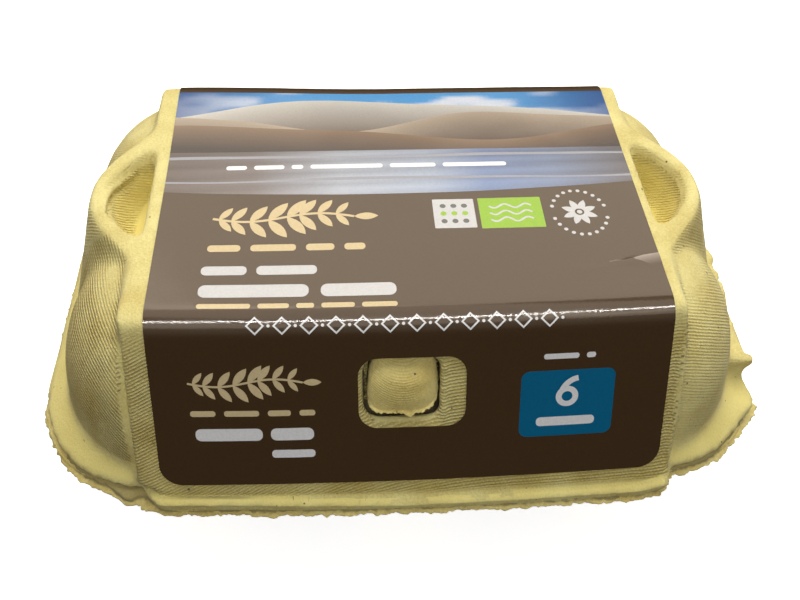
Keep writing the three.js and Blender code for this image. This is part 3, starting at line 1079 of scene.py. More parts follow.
    def screen(self, points: np.ndarray, normals: np.ndarray, edges: np.ndarray) -> np.ndarray:
        """Places along and across the screen's rows and the imprint's strength.

        Args:
            points: the skin's points.
            normals: their outward directions.
            edges: pairs of neighbours.

        Returns:
            A row of three for each point.
        """
        found = self.regions(points, normals)
        mixed = found[edges[:, 0]] != found[edges[:, 1]]
        foot = ((found == Region.FRONT.value) & (points[:, 2] < self.plan.rim + 2.8)
                & (np.abs(points[:, 0]) < 49))
        mixed &= ~(foot[edges[:, 0]] | foot[edges[:, 1]])
        inner = np.ones(len(points))
        inner[edges[mixed].ravel()] = 0.0
        upright = smoothstep(0.92, 0.7, normals[:, 2])
        along, across = self.rows(points, found)
        return np.stack([along, across, self.strength(points, found) * inner * upright], 1)


# The tray

@dataclass
class TrayShell:
    """The tray below the seam: cups, floor and rim.

    Attributes:
        knob_depth: how far under the panel's face the solid's own knob is pressed in.
        knob_half: half the width and height of what is pressed in.
        painted_shadow_half: half the side of the square of painted shadow behind the latch's hole.
        rim_pull: how far the rim is pressed in.
        rim_raise: how far its lower face is pressed up.
        dent: where its front-left corner is pushed in, along the front.
    """

    plan: CartonPlan
    voxel: float = 0.9
    fillet_rounds: int = 10
    unevenness: float = 0.2
    knob_depth: float = 5.0
    knob_half: tuple[float, float] = (7.2, 6.6)
    painted_shadow_half: float = 9.5
    rim_pull: float = 0.9
    rim_raise: float = 0.9
    dent: Swell = Swell(-50.2, 2.2, 1.3)

    def build(self) -> bpy.types.Object:
        """Makes the tray's skin.

        Returns:
            The piece.
        """
        tray = remeshed_copy(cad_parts["tray"], "tray_shell", self.voxel)
        mesh = tray.data
        edges = read_edges(mesh)
        points = read_points(mesh)
        flat = points[:, 2] < 0.6
        points = smoothed(points, edges, self.fillet_rounds)
        points[flat, 2] = np.maximum(points[flat, 2], 0.0)
        write_points(mesh, points)
        normals = read_normals(mesh)
        lift = self.unevenness * noise_at(points, 12.0, 3.0) * smoothstep(1.0, 5.0, points[:, 2])
        points = points + normals * lift[:, None]
        points[:, 2] = np.maximum(points[:, 2], 0.0)
        points = self.worn_rim(points)
        write_points(mesh, self.plan.bowed(self.without_knob(points)))
        plan = self.plan
        x, y, z = points.T
        # The cups' imprint strength also sets a little painted shade on them.
        strength = 0.8 * smoothstep(plan.rim - 3.5, plan.rim - 7.0, z)
        store(mesh, "screen", np.stack([x + y, z, strength], 1))
        # Painted shadow: a square behind the latch's hole gets the full, near-black shade colour, so
        # the gap round the knob looks dark.
        behind = ((np.abs(x - plan.latch_x) < self.painted_shadow_half) & (y < -30)
                  & (np.abs(plan.top - z - plan.latch_drop) < self.painted_shadow_half))
        store(mesh, "painted_shade", behind.astype(float))
        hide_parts("tray")
        return tray

    def worn_rim(self, points: np.ndarray) -> np.ndarray:
        """The same points with the rim pressed thinner, to lie inside its torn strip.

        Args:
            points: the skin's points, one row each.

        Returns:
            The new points.
        """
        y, z = points[:, 1], points[:, 2]
        rim = self.plan.rim
        near = smoothstep(rim - 4.4, rim - 3.2, z) * (z < rim + 0.5)
        shift = np.zeros_like(points)
        shift[:, 1] = -np.sign(y) * self.rim_pull * near * smoothstep(40, 46, np.abs(y))
        shift[:, 2] = self.rim_raise * near * smoothstep(rim - 0.6, rim - 2.0, z)
        shift[:, 1] += near * self.dent.at(points[:, 0]) * smoothstep(-40, -46, y)
        return points + shift

    def without_knob(self, points: np.ndarray) -> np.ndarray:
        """The same points with the plain knob pressed in, where the latch's own knob stands.

        Args:
            points: the skin's points, one row each.

        Returns:
            The new points.
        """
        plan = self.plan
        x, y, z = points.T
        drop = plan.top - z
        angle = plan.slope_angle
        out = -(y + plan.top_half_depth + drop * plan.panel_slope) * math.cos(angle)
        held = ((np.abs(x - plan.latch_x) < self.knob_half[0])
                & (np.abs(drop - plan.latch_drop) < self.knob_half[1]))
        extra = np.where(held, np.maximum(out + self.knob_depth, 0.0), 0.0)
        return points - extra[:, None] * np.array([0.0, -math.cos(angle), math.sin(angle)])


@dataclass
class TornRim:
    """The tray's torn rim, which shows as a ragged strip under the lid's rim.

    Attributes:
        profile: the section's points: how far out, how far up from the seam, how loose.
        fine: how far a loose point strays in small teeth.
        coarse: how far it strays in broad waves.
        notch: where the strip is smoother and hangs lower, along the front.
        notch_reach: how much farther out it stands there.
        notch_drop: how much deeper it hangs there.
        dents: where it is pushed in and out, along the front.
        sag_share: how far out it leans for each millimetre of the lid's sag.
    """

    plan: CartonPlan
    columns: int = 1900
    profile: tuple[tuple[float, float, float], ...] = (
        (-2.4, -0.05, 0.0), (-0.35, -0.05, 0.2), (-0.3, -0.25, 0.5), (-0.1, -0.42, 0.7),
        (-0.3, -0.6, 0.6), (-0.05, -0.78, 0.8), (-0.2, -0.95, 0.8), (0.3, -1.1, 1.0),
        (0.75, -1.25, 1.1), (0.85, -1.45, 1.1), (0.5, -1.65, 0.9), (0.1, -1.85, 0.5),
        (-0.7, -2.0, 0.3), (-2.6, -1.9, 0.0))
    fine: float = 0.46
    coarse: float = 0.42
    notch: Swell = Swell(-53.0, 5.0)
    notch_reach: float = 0.1
    notch_drop: float = 0.6
    dents: tuple[Swell, ...] = (Swell(-50.2, 1.8, 1.3), Swell(-55.0, 2.7, -2.1))
    sag_share: float = 0.45

    def build(self) -> bpy.types.Object:
        """Makes the strip.

        Returns:
            The piece.
        """
        plan = self.plan
        path, sides = plan.rim_path(self.columns)
        seam = plan.rim - plan.gap
        origins = np.column_stack([path, np.full(self.columns, seam)])
        outs = np.column_stack([sides, np.zeros(self.columns)])
        sections = np.zeros((self.columns, len(self.profile), 2))
        notch = self.notch.at(path[:, 0]) * (path[:, 1] < 0)
        broad = noise_at(origins, 6.0, 4.0) + 0.7 * noise_at(origins, 2.6, 5.0)
        for row, (out, drop, loose) in enumerate(self.profile):
            at = origins + [0.0, 0.0, 1.4 * drop]
            torn = noise_at(at, 1.3, 6.0) + 0.7 * noise_at(at, 0.6, 7.0)
            reach = loose * (self.fine * torn * (1 - 0.6 * notch) + self.coarse * broad)
            reach = reach + self.notch_reach * notch * min(1.0, 1.6 * loose)
            spread = 0.7 + 0.7 * np.abs(sides[:, 0]) if out > 0 else 1.0
            sections[:, row, 0] = np.maximum(out * spread + reach, -2.6)
            sections[:, row, 1] = (drop * (1 + 0.3 * self.notch_drop * notch)
                                   + loose * (0.24 * noise_at(at, 0.9, 8.0) + 0.2 * broad))
            sections[:, row, 1] = np.minimum(sections[:, row, 1], -0.02)
        rim = swept_ring("tray_rim", origins, outs, sections)
        points = read_points(rim.data)
        loose = np.tile([smoothstep(-2.3, -0.6, out) for out, *_ in self.profile], self.columns)
        x, y, _ = points.T
        points[:, 0] += loose * smoothstep(66, 74, x) * plan.frayed_end(points)
        front = smoothstep(-44, -46, y)
        points[:, 1] += loose * front * (total(self.dents, x) - self.sag_share * plan.sagging(x))
        write_points(rim.data, plan.bowed(points))
        count = len(rim.data.vertices)
        store(rim.data, "screen", np.zeros((count, 3)))
        # Painted shade: the strip's upper rows, tucked under the lid's rim, are darkened towards the
        # near-black shade colour.
        tones = np.interp([-drop for _, drop, _ in self.profile], [0.7, 1.1], [0.5, 0.0])
        store(rim.data, "painted_shade", np.tile(tones, self.columns))
        return rim


# The latch

@dataclass
class LatchKnob:
    """The rounded knob of the latch, with a torn lower lip.

    Attributes:
        centre: its middle's place across, and how far down the panel it lies.
        half_size: half its width and height.
        crown: how far its middle bulges.
        corner_power: how square its outline is.
        sink: how far its back lies under the panel's face.
        cells: how many points its grid has each way.
        seat: how far the whole knob is set back.
        tilt: how much farther out its lower edge stands than its middle.
        tuck: how far its upper edge is pressed in.
        right_fall: how far its right edge is pressed in.
        lip: how ragged its lower lip is.
        unevenness: height of its small lumps.
        tab: the tooth that hangs from the lower lip.
        row_pitch: how many times closer the screen's rows lie on it.
    """

    plan: CartonPlan
    centre: tuple[float, float] = (-1.62, 11.8)
    half_size: tuple[float, float] = (6.5, 5.05)
    crown: float = 2.2
    corner_power: float = 4.0
    sink: float = 4.6
    cells: int = 96
    seat: float = 0.7
    tilt: float = 0.3
    tuck: float = 2.2
    right_fall: float = 0.9
    lip: float = 0.35
    unevenness: float = 0.13
    tab: Swell = Swell(-0.6, 0.8, 0.8)
    row_pitch: float = 1.4

    def build(self) -> bpy.types.Object:
        """Makes the knob as a crowned pillow whose upper edge is tucked under the lid.

        Returns:
            The piece.
        """
        share = np.linspace(-1.0, 1.0, self.cells)
        u, v = np.meshgrid(share, share)
        power = self.corner_power
        ring = np.maximum(np.abs(u), np.abs(v))
        reach = (np.abs(u) ** power + np.abs(v) ** power) ** (1 / power)
        shrink = ring / np.maximum(reach, 1e-6)
        u, v = u * shrink, v * shrink
        lower = smoothstep(-0.5, -0.95, v)
        edge = smoothstep(0.86, 1.0, ring)
        x = self.centre[0] + self.half_size[0] * u * (1 - 0.05 * v) + 0.2 * v
        drop = self.centre[1] - self.half_size[1] * v
        flat = np.stack([x.ravel(), drop.ravel(), np.zeros(x.size)], 1)
        torn = (noise_at(flat, 0.8, 7.0) + 0.6 * noise_at(flat, 0.35, 9.0)).reshape(x.shape)
        dome = np.sqrt(np.maximum(1.0 - (ring / 1.02) ** 2.8, 0.0))
        out = self.crown * dome - self.seat - self.tilt * v
        out -= self.tuck * smoothstep(-0.1, 1.1, v) ** 1.2
        out -= self.right_fall * smoothstep(0.45, 1.0, u)
        out += lower * (smoothstep(0.91, 0.98, ring) + self.lip * edge * torn)
        out += self.unevenness * noise_at(flat, 1.3, 8.0).reshape(x.shape)
        drop = drop + lower * edge * (0.3 * torn + self.tab.at(x))
        x = x + (1 - lower) * edge * 0.12 * torn
        points = self.plan.on_panel(x.ravel(), drop.ravel(), out.ravel())
        base = self.plan.on_panel(x.ravel(), drop.ravel(), np.full(x.size, -self.sink))
        faces, border = self.faces()
        knob = add_mesh("latch_knob", self.plan.bowed(np.vstack([points, base[border]])), faces)
        bend = (drop - self.centre[1]) * self.row_pitch + 0.1 * (x - self.centre[0]) ** 2
        rows = np.column_stack([self.row_pitch * x.ravel(), bend.ravel(),
                                0.35 * (1 - lower.ravel()) * (1 - edge.ravel())])
        store(knob.data, "screen", np.vstack([rows, np.zeros((len(border), 3))]))
        # Painted shadow: the knob's side and upper edges are darkened towards the near-black shade
        # colour, and its skirt and back are fully dark, for the shadowed gap round it.
        tones = np.concatenate([0.3 * (edge * (1 - lower)).ravel(), np.ones(len(border))])
        store(knob.data, "painted_shade", tones)
        return knob

    def faces(self) -> tuple[list, list]:
        """The faces of the grid, its skirt and its back, and the numbers of the grid's border.

        Returns:
            The vertex numbers of each face, and the border's, in order.
        """
        n = self.cells
        faces = [(i * n + j, i * n + j + 1, (i + 1) * n + j + 1, (i + 1) * n + j)
                 for i in range(n - 1) for j in range(n - 1)]
        border = [*range(n), *range(2 * n - 1, n * n, n), *range(n * n - 2, n * n - n - 1, -1),
                  *range(n * n - 2 * n, 0, -n)]
        count, around = n * n, len(border)
        for k, here in enumerate(border):
            after = (k + 1) % around
            faces.append((border[after], here, count + k, count + after))
        faces.append(tuple(range(count + around - 1, count - 1, -1)))
        return faces, border


# The label

@dataclass(frozen=True)
class PrintField:
    """One field of ink.

    Attributes:
        outline: its corners as places across and along the sheet, in millimetres.
        ink: its colour, or a rule that gives colours for places across and along.
    """

    outline: Outline
    ink: Colour | InkRule

    def colours(self, x: np.ndarray, s: np.ndarray) -> np.ndarray:
        """The ink at these places, one row each.

        Args:
            x: places across the sheet.
            s: places along the sheet.

        Returns:
            A colour for each place.
        """
        if callable(self.ink):
            return self.ink(x, s)
        return np.tile(self.ink, (len(x), 1))

    def holds(self, x: np.ndarray, s: np.ndarray) -> np.ndarray:
        """Whether each place lies inside the outline.

        Args:
            x: places across the sheet.
            s: places along the sheet.

        Returns:
            True for each place inside.
        """
        inside = np.zeros(len(x), bool)
        corners = self.outline
        for (ax, ay), (bx, by) in zip(corners, corners[1:] + corners[:1]):
            if ay == by:
                continue
            crosses = ((ay > s) != (by > s)) & (x < (bx - ax) * (s - ay) / (by - ay) + ax)
            inside ^= crosses
        return inside


def srgb(red: int, green: int, blue: int) -> Colour:
    """A linear colour from its usual three numbers up to 255."""
    return tuple((c / 12.92 if c <= 0.04045 else ((c + 0.055) / 1.055) ** 2.4)
                 for c in (red / 255, green / 255, blue / 255))


def rounded(left: float, right: float, near: float, far: float, radius: float,
            steps: int = 5) -> Outline:
    """A rounded rectangle between two places across and two along.

    Args:
        left: its left end across the sheet.
        right: its right end.
        near: its near end along the sheet.
        far: its far end.
        radius: its corners' radius.
        steps: how many sides a corner has.

    Returns:
        The outline.
    """
    corners = [(right - radius, far - radius, 0), (left + radius, far - radius, 90),
               (left + radius, near + radius, 180), (right - radius, near + radius, 270)]
    made = []
    for x, s, start in corners:
        for k in range(steps + 1):
            a = math.radians(start + 90 * k / steps)
            made.append((x + radius * math.cos(a), s + radius * math.sin(a)))
    return made


def disc(x: float, s: float, radius: float, steps: int = 28) -> Outline:
    """A round outline."""
    return [(x + radius * math.cos(2 * math.pi * k / steps),
             s + radius * math.sin(2 * math.pi * k / steps)) for k in range(steps)]


def leaf(x: float, s: float, length: float, width: float, angle: float, steps: int = 7) -> Outline:
    """A pointed leaf from its root, at an angle in degrees.

    Args:
        x: its root's place across the sheet.
        s: and along it.
        length: how long it is.
        width: how wide it is.
        angle: where it points.
        steps: how many sides each half has.

    Returns:
        The outline.
    """
    a = math.radians(angle)
    made = []
    for k in range(2 * steps):
        t = k / steps if k <= steps else 2 - k / steps
        side = 1 if k <= steps else -1
        across = side * width / 2 * math.sin(math.pi * t) ** 0.8
        along = length * t
        made.append((x + along * math.cos(a) - across * math.sin(a),
                     s + along * math.sin(a) + across * math.cos(a)))
    return made


def stroke(path: Outline, width: float) -> Outline:
    """The outline of a line of even width along a path.

    Args:
        path: the middle of the line.
        width: how wide the line is.

    Returns:
        The outline.
    """
    points = np.array(path)
    along = np.gradient(points, axis=0)
    along /= np.linalg.norm(along, axis=1)[:, None]
    side = np.stack([-along[:, 1], along[:, 0]], 1) * width / 2
    return [tuple(p) for p in np.vstack([points + side, (points - side)[::-1]])]


def with_short_sides(outline: Outline, most: float) -> Outline:
    """The same outline with points added, so that no side is longer than most.

    Args:
        outline: the outline.
        most: the longest side allowed.

    Returns:
        The finer outline.
    """
    made = []
    for (ax, ay), (bx, by) in zip(outline, outline[1:] + outline[:1]):
        parts = max(1, math.ceil(math.hypot(bx - ax, by - ay) / most))
        made += [(ax + (bx - ax) * k / parts, ay + (by - ay) * k / parts) for k in range(parts)]
    return made


@dataclass
class LabelPrint:
    """The label's print: fields of ink, in places across and along the sheet.

    A place along the sheet runs from 0 over the carton's middle towards the front.
    """

    along_of_drop: Callable[[float], float]
    left: float
    right: float
    brown: Colour = (0.066, 0.037, 0.015)
    cream: Colour = srgb(206, 185, 138)
    white: Colour = srgb(198, 198, 197)
    bright: Colour = srgb(240, 240, 238)
    tan: Colour = srgb(219, 199, 154)
    grey: Colour = srgb(236, 236, 236)
    blue: Colour = srgb(10, 104, 145)
    green: Colour = srgb(140, 184, 26)
    # The colour of the painted highlight on the paper's pinched crease.
    worn: Colour = srgb(160, 146, 132)
    picture_far: float = -31.2
    horizon: float = -11.0

    def fields(self) -> list[PrintField]:
        """All the fields, with what lies on top last.

        Returns:
            The fields of ink, the top ones last.
        """
        at = self.along_of_drop
        top_sprig = self.sprig(-37.2, -5.8, 9.2, 6.4, self.cream)
        front_sprig = self.sprig(-40.8, -17.2, at(10.7), 4.6, self.tan)
        return [*self.picture(), *top_sprig, *self.lines(), *self.marks(), *self.border(),
                *front_sprig, *self.number_panel(), *self.wrinkle_glint()]

    def lines(self) -> list[PrintField]:
        """The lines of plain bars, where lines of words would stand.

        Returns:
            The fields of ink, the top ones last.
        """
        at = self.along_of_drop
        rows = (
            (-35.6, -6.6, 1.25, [4.2, 6.2, 2.4, 15.0, 9.6, 13.4], self.bright, 1.5),
            (-37.6, 16.4, 1.7, [6.2, 8.6, 5.4, 4.0], self.cream, 1.9),
            (-38.3, 21.8, 2.2, [8.4, 11.2], self.white, 1.8),
            (-38.4, 26.4, 3.0, [20.0, 13.8], self.white, 2.2),
            (-38.4, 30.9, 1.1, [9.6, 5.6, 3.2, 6.0, 6.4], self.cream, 1.3),
            (-40.8, at(15.8), 1.2, [4.6, 6.4, 4.2, 2.9], self.tan, 1.6),
            (-40.2, at(19.2), 2.6, [12.4, 8.0], self.grey, 1.5),
            (-26.3, at(23.4), 1.7, [8.1], self.grey, 1.3))
        return [field for row in rows for field in self.bars(*row)]

    def picture_near(self, x: np.ndarray) -> np.ndarray:
        """The picture's lower edge, a shallow bow."""
        return 1.1 + 0.0553 * (x + 47.4) - 0.000918 * (x + 47.4) * (x + 20.3)

    def sky(self, x: np.ndarray, s: np.ndarray) -> np.ndarray:
        """Deep blue at the sides and clear blue between, with drifting pale streaks.

        Args:
            x: places across the sheet.
            s: places along the sheet.

        Returns:
            A colour for each place.
        """
        clear = smoothstep(-52, -18, x) * smoothstep(52, 20, x)
        deep, light = np.array(srgb(32, 76, 134)), np.array(srgb(78, 146, 200))
        cloud = np.array(srgb(200, 206, 216))
        streak = (np.sin(0.11 * x + 0.5 * s + 1.3) + 0.6 * np.sin(0.23 * x - 0.8 * s)
                  + 0.4 * np.sin(0.41 * x + 1.1 * s + 2.0))
        share = smoothstep(0.2, 1.5, streak + 0.35 * (s + 29)) * (0.12 + 0.88 * clear)
        base = deep + (light - deep) * clear[:, None]
        return base + (cloud - base) * share[:, None]

    def water(self, x: np.ndarray, s: np.ndarray) -> np.ndarray:
        """Grey at the left, pale in the middle and blue towards the right.

        Args:
            x: places across the sheet.
            s: places along the sheet.

        Returns:
            A colour for each place.
        """
        places = [-48.0, -30.0, -12.0, 6.0, 18.0, 32.0, 48.0]
        tones = np.array([srgb(97, 86, 80), srgb(112, 104, 102), srgb(158, 163, 172),
                          srgb(150, 160, 176), srgb(108, 127, 162), srgb(112, 126, 152),
                          srgb(96, 93, 97)])
        ink = np.stack([np.interp(x, places, tones[:, k]) for k in range(3)], 1)
        swell = 1.0 + 0.16 * np.sin(1.7 * s + 0.07 * x) + 0.03 * (s + 5.0)
        return ink * swell[:, None]

    def sweep(self, crest: Line, light: Colour, dark: Colour, depth: float) -> InkRule:
        """Ink that runs from light at a crest to dark below it.

        Args:
            crest: the crest's line.
            light: the colour at it.
            dark: the colour below it.
            depth: how far below it the ink is fully dark.

        Returns:
            The rule.
        """
        def ink(x: np.ndarray, s: np.ndarray) -> np.ndarray:
            """The ink at places across and along."""
            fall = np.clip((s - crest(x)) / depth, 0, 1)[:, None] ** 0.8
            return np.array(light) + (np.array(dark) - np.array(light)) * fall
        return ink

    def band_under(self, crest: Line, near: Line) -> Outline:
        """The outline between a crest line and a lower line, over the whole sheet.

        Args:
            crest: the crest line.
            near: the lower line.

        Returns:
            The outline.
        """
        x = np.linspace(self.left - 1, self.right + 1, 49)
        upper = list(zip(x, crest(x)))
        lower = list(zip(x, near(x)))[::-1]
        return [(float(a), float(b)) for a, b in upper + lower]

    def picture(self) -> list[PrintField]:
        """A band of sky, long sweeping dunes and pale water, all made of smooth waves.

        Returns:
            The fields of ink, the top ones last.
        """

        def flat(level: float) -> Line:
            """A level line."""
            return lambda x: np.full(len(x), level)

        def wave(level: float, height: float, length: float, start: float) -> Line:
            """A wave with a smaller one on it."""
            return lambda x: (level - height * np.sin(2 * math.pi * (x - start) / length)
                              - 0.3 * height * np.sin(4 * math.pi * (x - start) / length + 0.6))

        shore, near = flat(self.horizon), self.picture_near
        made = [PrintField(self.band_under(flat(self.picture_far), near), self.sky)]
        dunes = [(wave(-25.2, 3.4, 118, -34), srgb(194, 191, 182), srgb(88, 70, 56), 13.0),
                 (wave(-21.0, 3.0, 84, 6), srgb(168, 152, 132), srgb(66, 50, 42), 11.0),
                 (wave(-17.2, 2.6, 104, -62), srgb(128, 103, 80), srgb(44, 33, 30), 7.5)]
        for crest, light, dark, depth in dunes:
            made.append(PrintField(self.band_under(crest, shore),
                                   self.sweep(crest, light, dark, depth)))
        made.append(PrintField(self.band_under(shore, near), self.water))
        for level, height, length, start in ((-9.4, 0.3, 60, 10), (-2.2, 0.4, 74, -20)):
            streak = self.band_under(wave(level, height, length, start),
                                     wave(level + 0.7, height * 0.5, length, start + 3))
            made.append(PrintField(streak, srgb(150, 152, 160)))
        return made

    def sprig(self, start: float, end: float, middle: float, size: float,
              ink: Colour) -> list[PrintField]:
        """A lying sprig of pointed leaves between two places across the sheet.

        Args:
            start: where the stem starts across the sheet.
            end: where the last leaf ends.
            middle: its place along the sheet.
            size: the length of its longest leaves.
            ink: its colour.

        Returns:
            The fields of ink, the top ones last.
        """
        points, pairs = 24, 8
        stem_x = np.linspace(start, end - size * 0.6, points)
        bend = 0.16 * size * np.sin(np.linspace(0, 2 * math.pi, points))
        stem = list(zip(stem_x, middle + bend))
        outlines = [stroke(stem, 0.09 * size)]
        for k in range(pairs):
            root = stem[int(1 + k * (points - 2) / pairs)]
            long = size * (1.0 - 0.35 * abs(2 * k / (pairs - 1) - 1))
            outlines += [leaf(*root, long, 0.36 * long, angle) for angle in (-52, 52)]
        outlines.append(leaf(*stem[-1], size * 0.75, size * 0.3, 0))
        return [PrintField(outline, ink) for outline in outlines]

    def bars(self, start: float, near: float, height: float, widths: list[float], ink: Colour,
             space: float) -> list[PrintField]:
        """A line of plain rounded bars, where a line of words would stand.

        Args:
            start: the first bar's left end across the sheet.
            near: the line's near edge along the sheet.
            height: how high the bars are.
            widths: how wide each one is.
            ink: their colour.
            space: the space between two bars.

        Returns:
            The fields of ink, the top ones last.
        """
        made, x = [], start
        for width in widths:
            made.append(PrintField(rounded(x, x + width, near, near + height, height * 0.42), ink))
            x += width + space
        return made

    def marks(self) -> list[PrintField]:
        """The white square, the green panel and the round ornament.

        Returns:
            The fields of ink, the top ones last.
        """
        made = [PrintField(rounded(6.1, 14.4, 4.9, 13.1, 0.2), self.white)]
        for row in range(3):
            for column in range(3):
                ink = self.green if row == 1 else srgb(92, 96, 92)
                made.append(PrintField(disc(8.1 + 2.15 * column, 6.9 + 2.15 * row, 0.62, 14), ink))
        made.append(PrintField(rounded(15.3, 28.0, 4.8, 13.4, 0.2), self.green))
        for level in (7.2, 9.1, 11.0):
            x = np.linspace(17.4, 25.9, 26)
            path = list(zip(x, level + 0.55 * np.sin((x - 17.4) * 2 * math.pi / 4.25)))
            made.append(PrintField(stroke(path, 0.42), self.white))
        x, s = 35.4, 9.4
        for k in range(8):
            made.append(PrintField(leaf(x, s, 3.7, 1.5, 45 * k + 22.5), self.white))
        made.append(PrintField(disc(x, s, 0.95, 16), self.brown))
        made.append(PrintField(disc(x, s, 0.55, 14), self.white))
        for k in range(22):
            angle = math.radians(360 / 22 * k)
            if abs(math.sin(angle)) < 0.28:
                continue
            made.append(PrintField(disc(x + 5.5 * math.cos(angle), s + 6.3 * math.sin(angle), 0.42, 10),
                                   self.white))
        return made

    def border(self) -> list[PrintField]:
        """A row of open diamonds and dots that runs along the front fold.

        Returns:
            The fields of ink, the top ones last.
        """
        middle = self.along_of_drop(2.6) - 2.2
        made = []
        count = 12
        for k in range(count):
            x = -28.0 + k * 53.0 / (count - 1)
            for size, ink in ((1.7, self.bright), (1.25, self.brown)):
                made.append(PrintField([(x - size, middle), (x, middle - size), (x + size, middle),
                                        (x, middle + size)], ink))
            made.append(PrintField(disc(x + 2.4, middle, 0.3, 10), self.bright))
        return made

    def wrinkle_glint(self) -> list[PrintField]:
        """A painted highlight on the crease where the paper was pinched at its right edge, with a thin
        painted glint to its left.

        Returns:
            The fields of ink, the top ones last.
        """
        def fading(x: np.ndarray, s: np.ndarray) -> np.ndarray:
            """The painted highlight on the crease, which fades to the ground's colour towards the
            front.
            """
            below = np.clip((s - 22.5 + 0.2 * (x - 42.8)) / 2.6, 0, 1)[:, None] ** 0.6
            return np.array(self.worn) * (1 - below) + np.array(self.brown) * below
        # A thin painted glint, a little paler than the ground, to the left of the crease.
        streak = stroke([(38.4, 23.1), (39.8, 22.8), (41.4, 22.9), (43.4, 22.5)], 0.26)
        return [PrintField([(42.8, 22.5), (45.2, 21.8), (48.6, 21.3), (48.6, 25.0), (46.8, 24.7),
                            (44.6, 23.3)], fading), PrintField(streak, srgb(104, 88, 74))]

    def number_panel(self) -> list[PrintField]:
        """The blue panel with its numeral and the bars above and below it.

        Returns:
            The fields of ink, the top ones last.
        """
        at = self.along_of_drop
        made = self.bars(24.3, at(7.0), 1.1, [6.6, 1.7], self.grey, 1.4)
        made.append(PrintField(rounded(20.3, 38.1, at(10.1), at(22.6), 1.6), self.blue))
        x, s = 29.15, at(15.05)
        turn = [math.radians(a) for a in np.linspace(186, 98, 14)]
        curve = [(31.6 + 3.75 * math.cos(a), s + 0.3 - 4.1 * math.sin(a)) for a in turn]
        made.append(PrintField(stroke(curve, 1.15), self.grey))
        made.append(PrintField(disc(x, s, 2.15), self.grey))
        made.append(PrintField(disc(x, s, 1.02), self.blue))
        return made + self.bars(23.5, at(18.9), 1.9, [11.2], self.grey, 0.0)


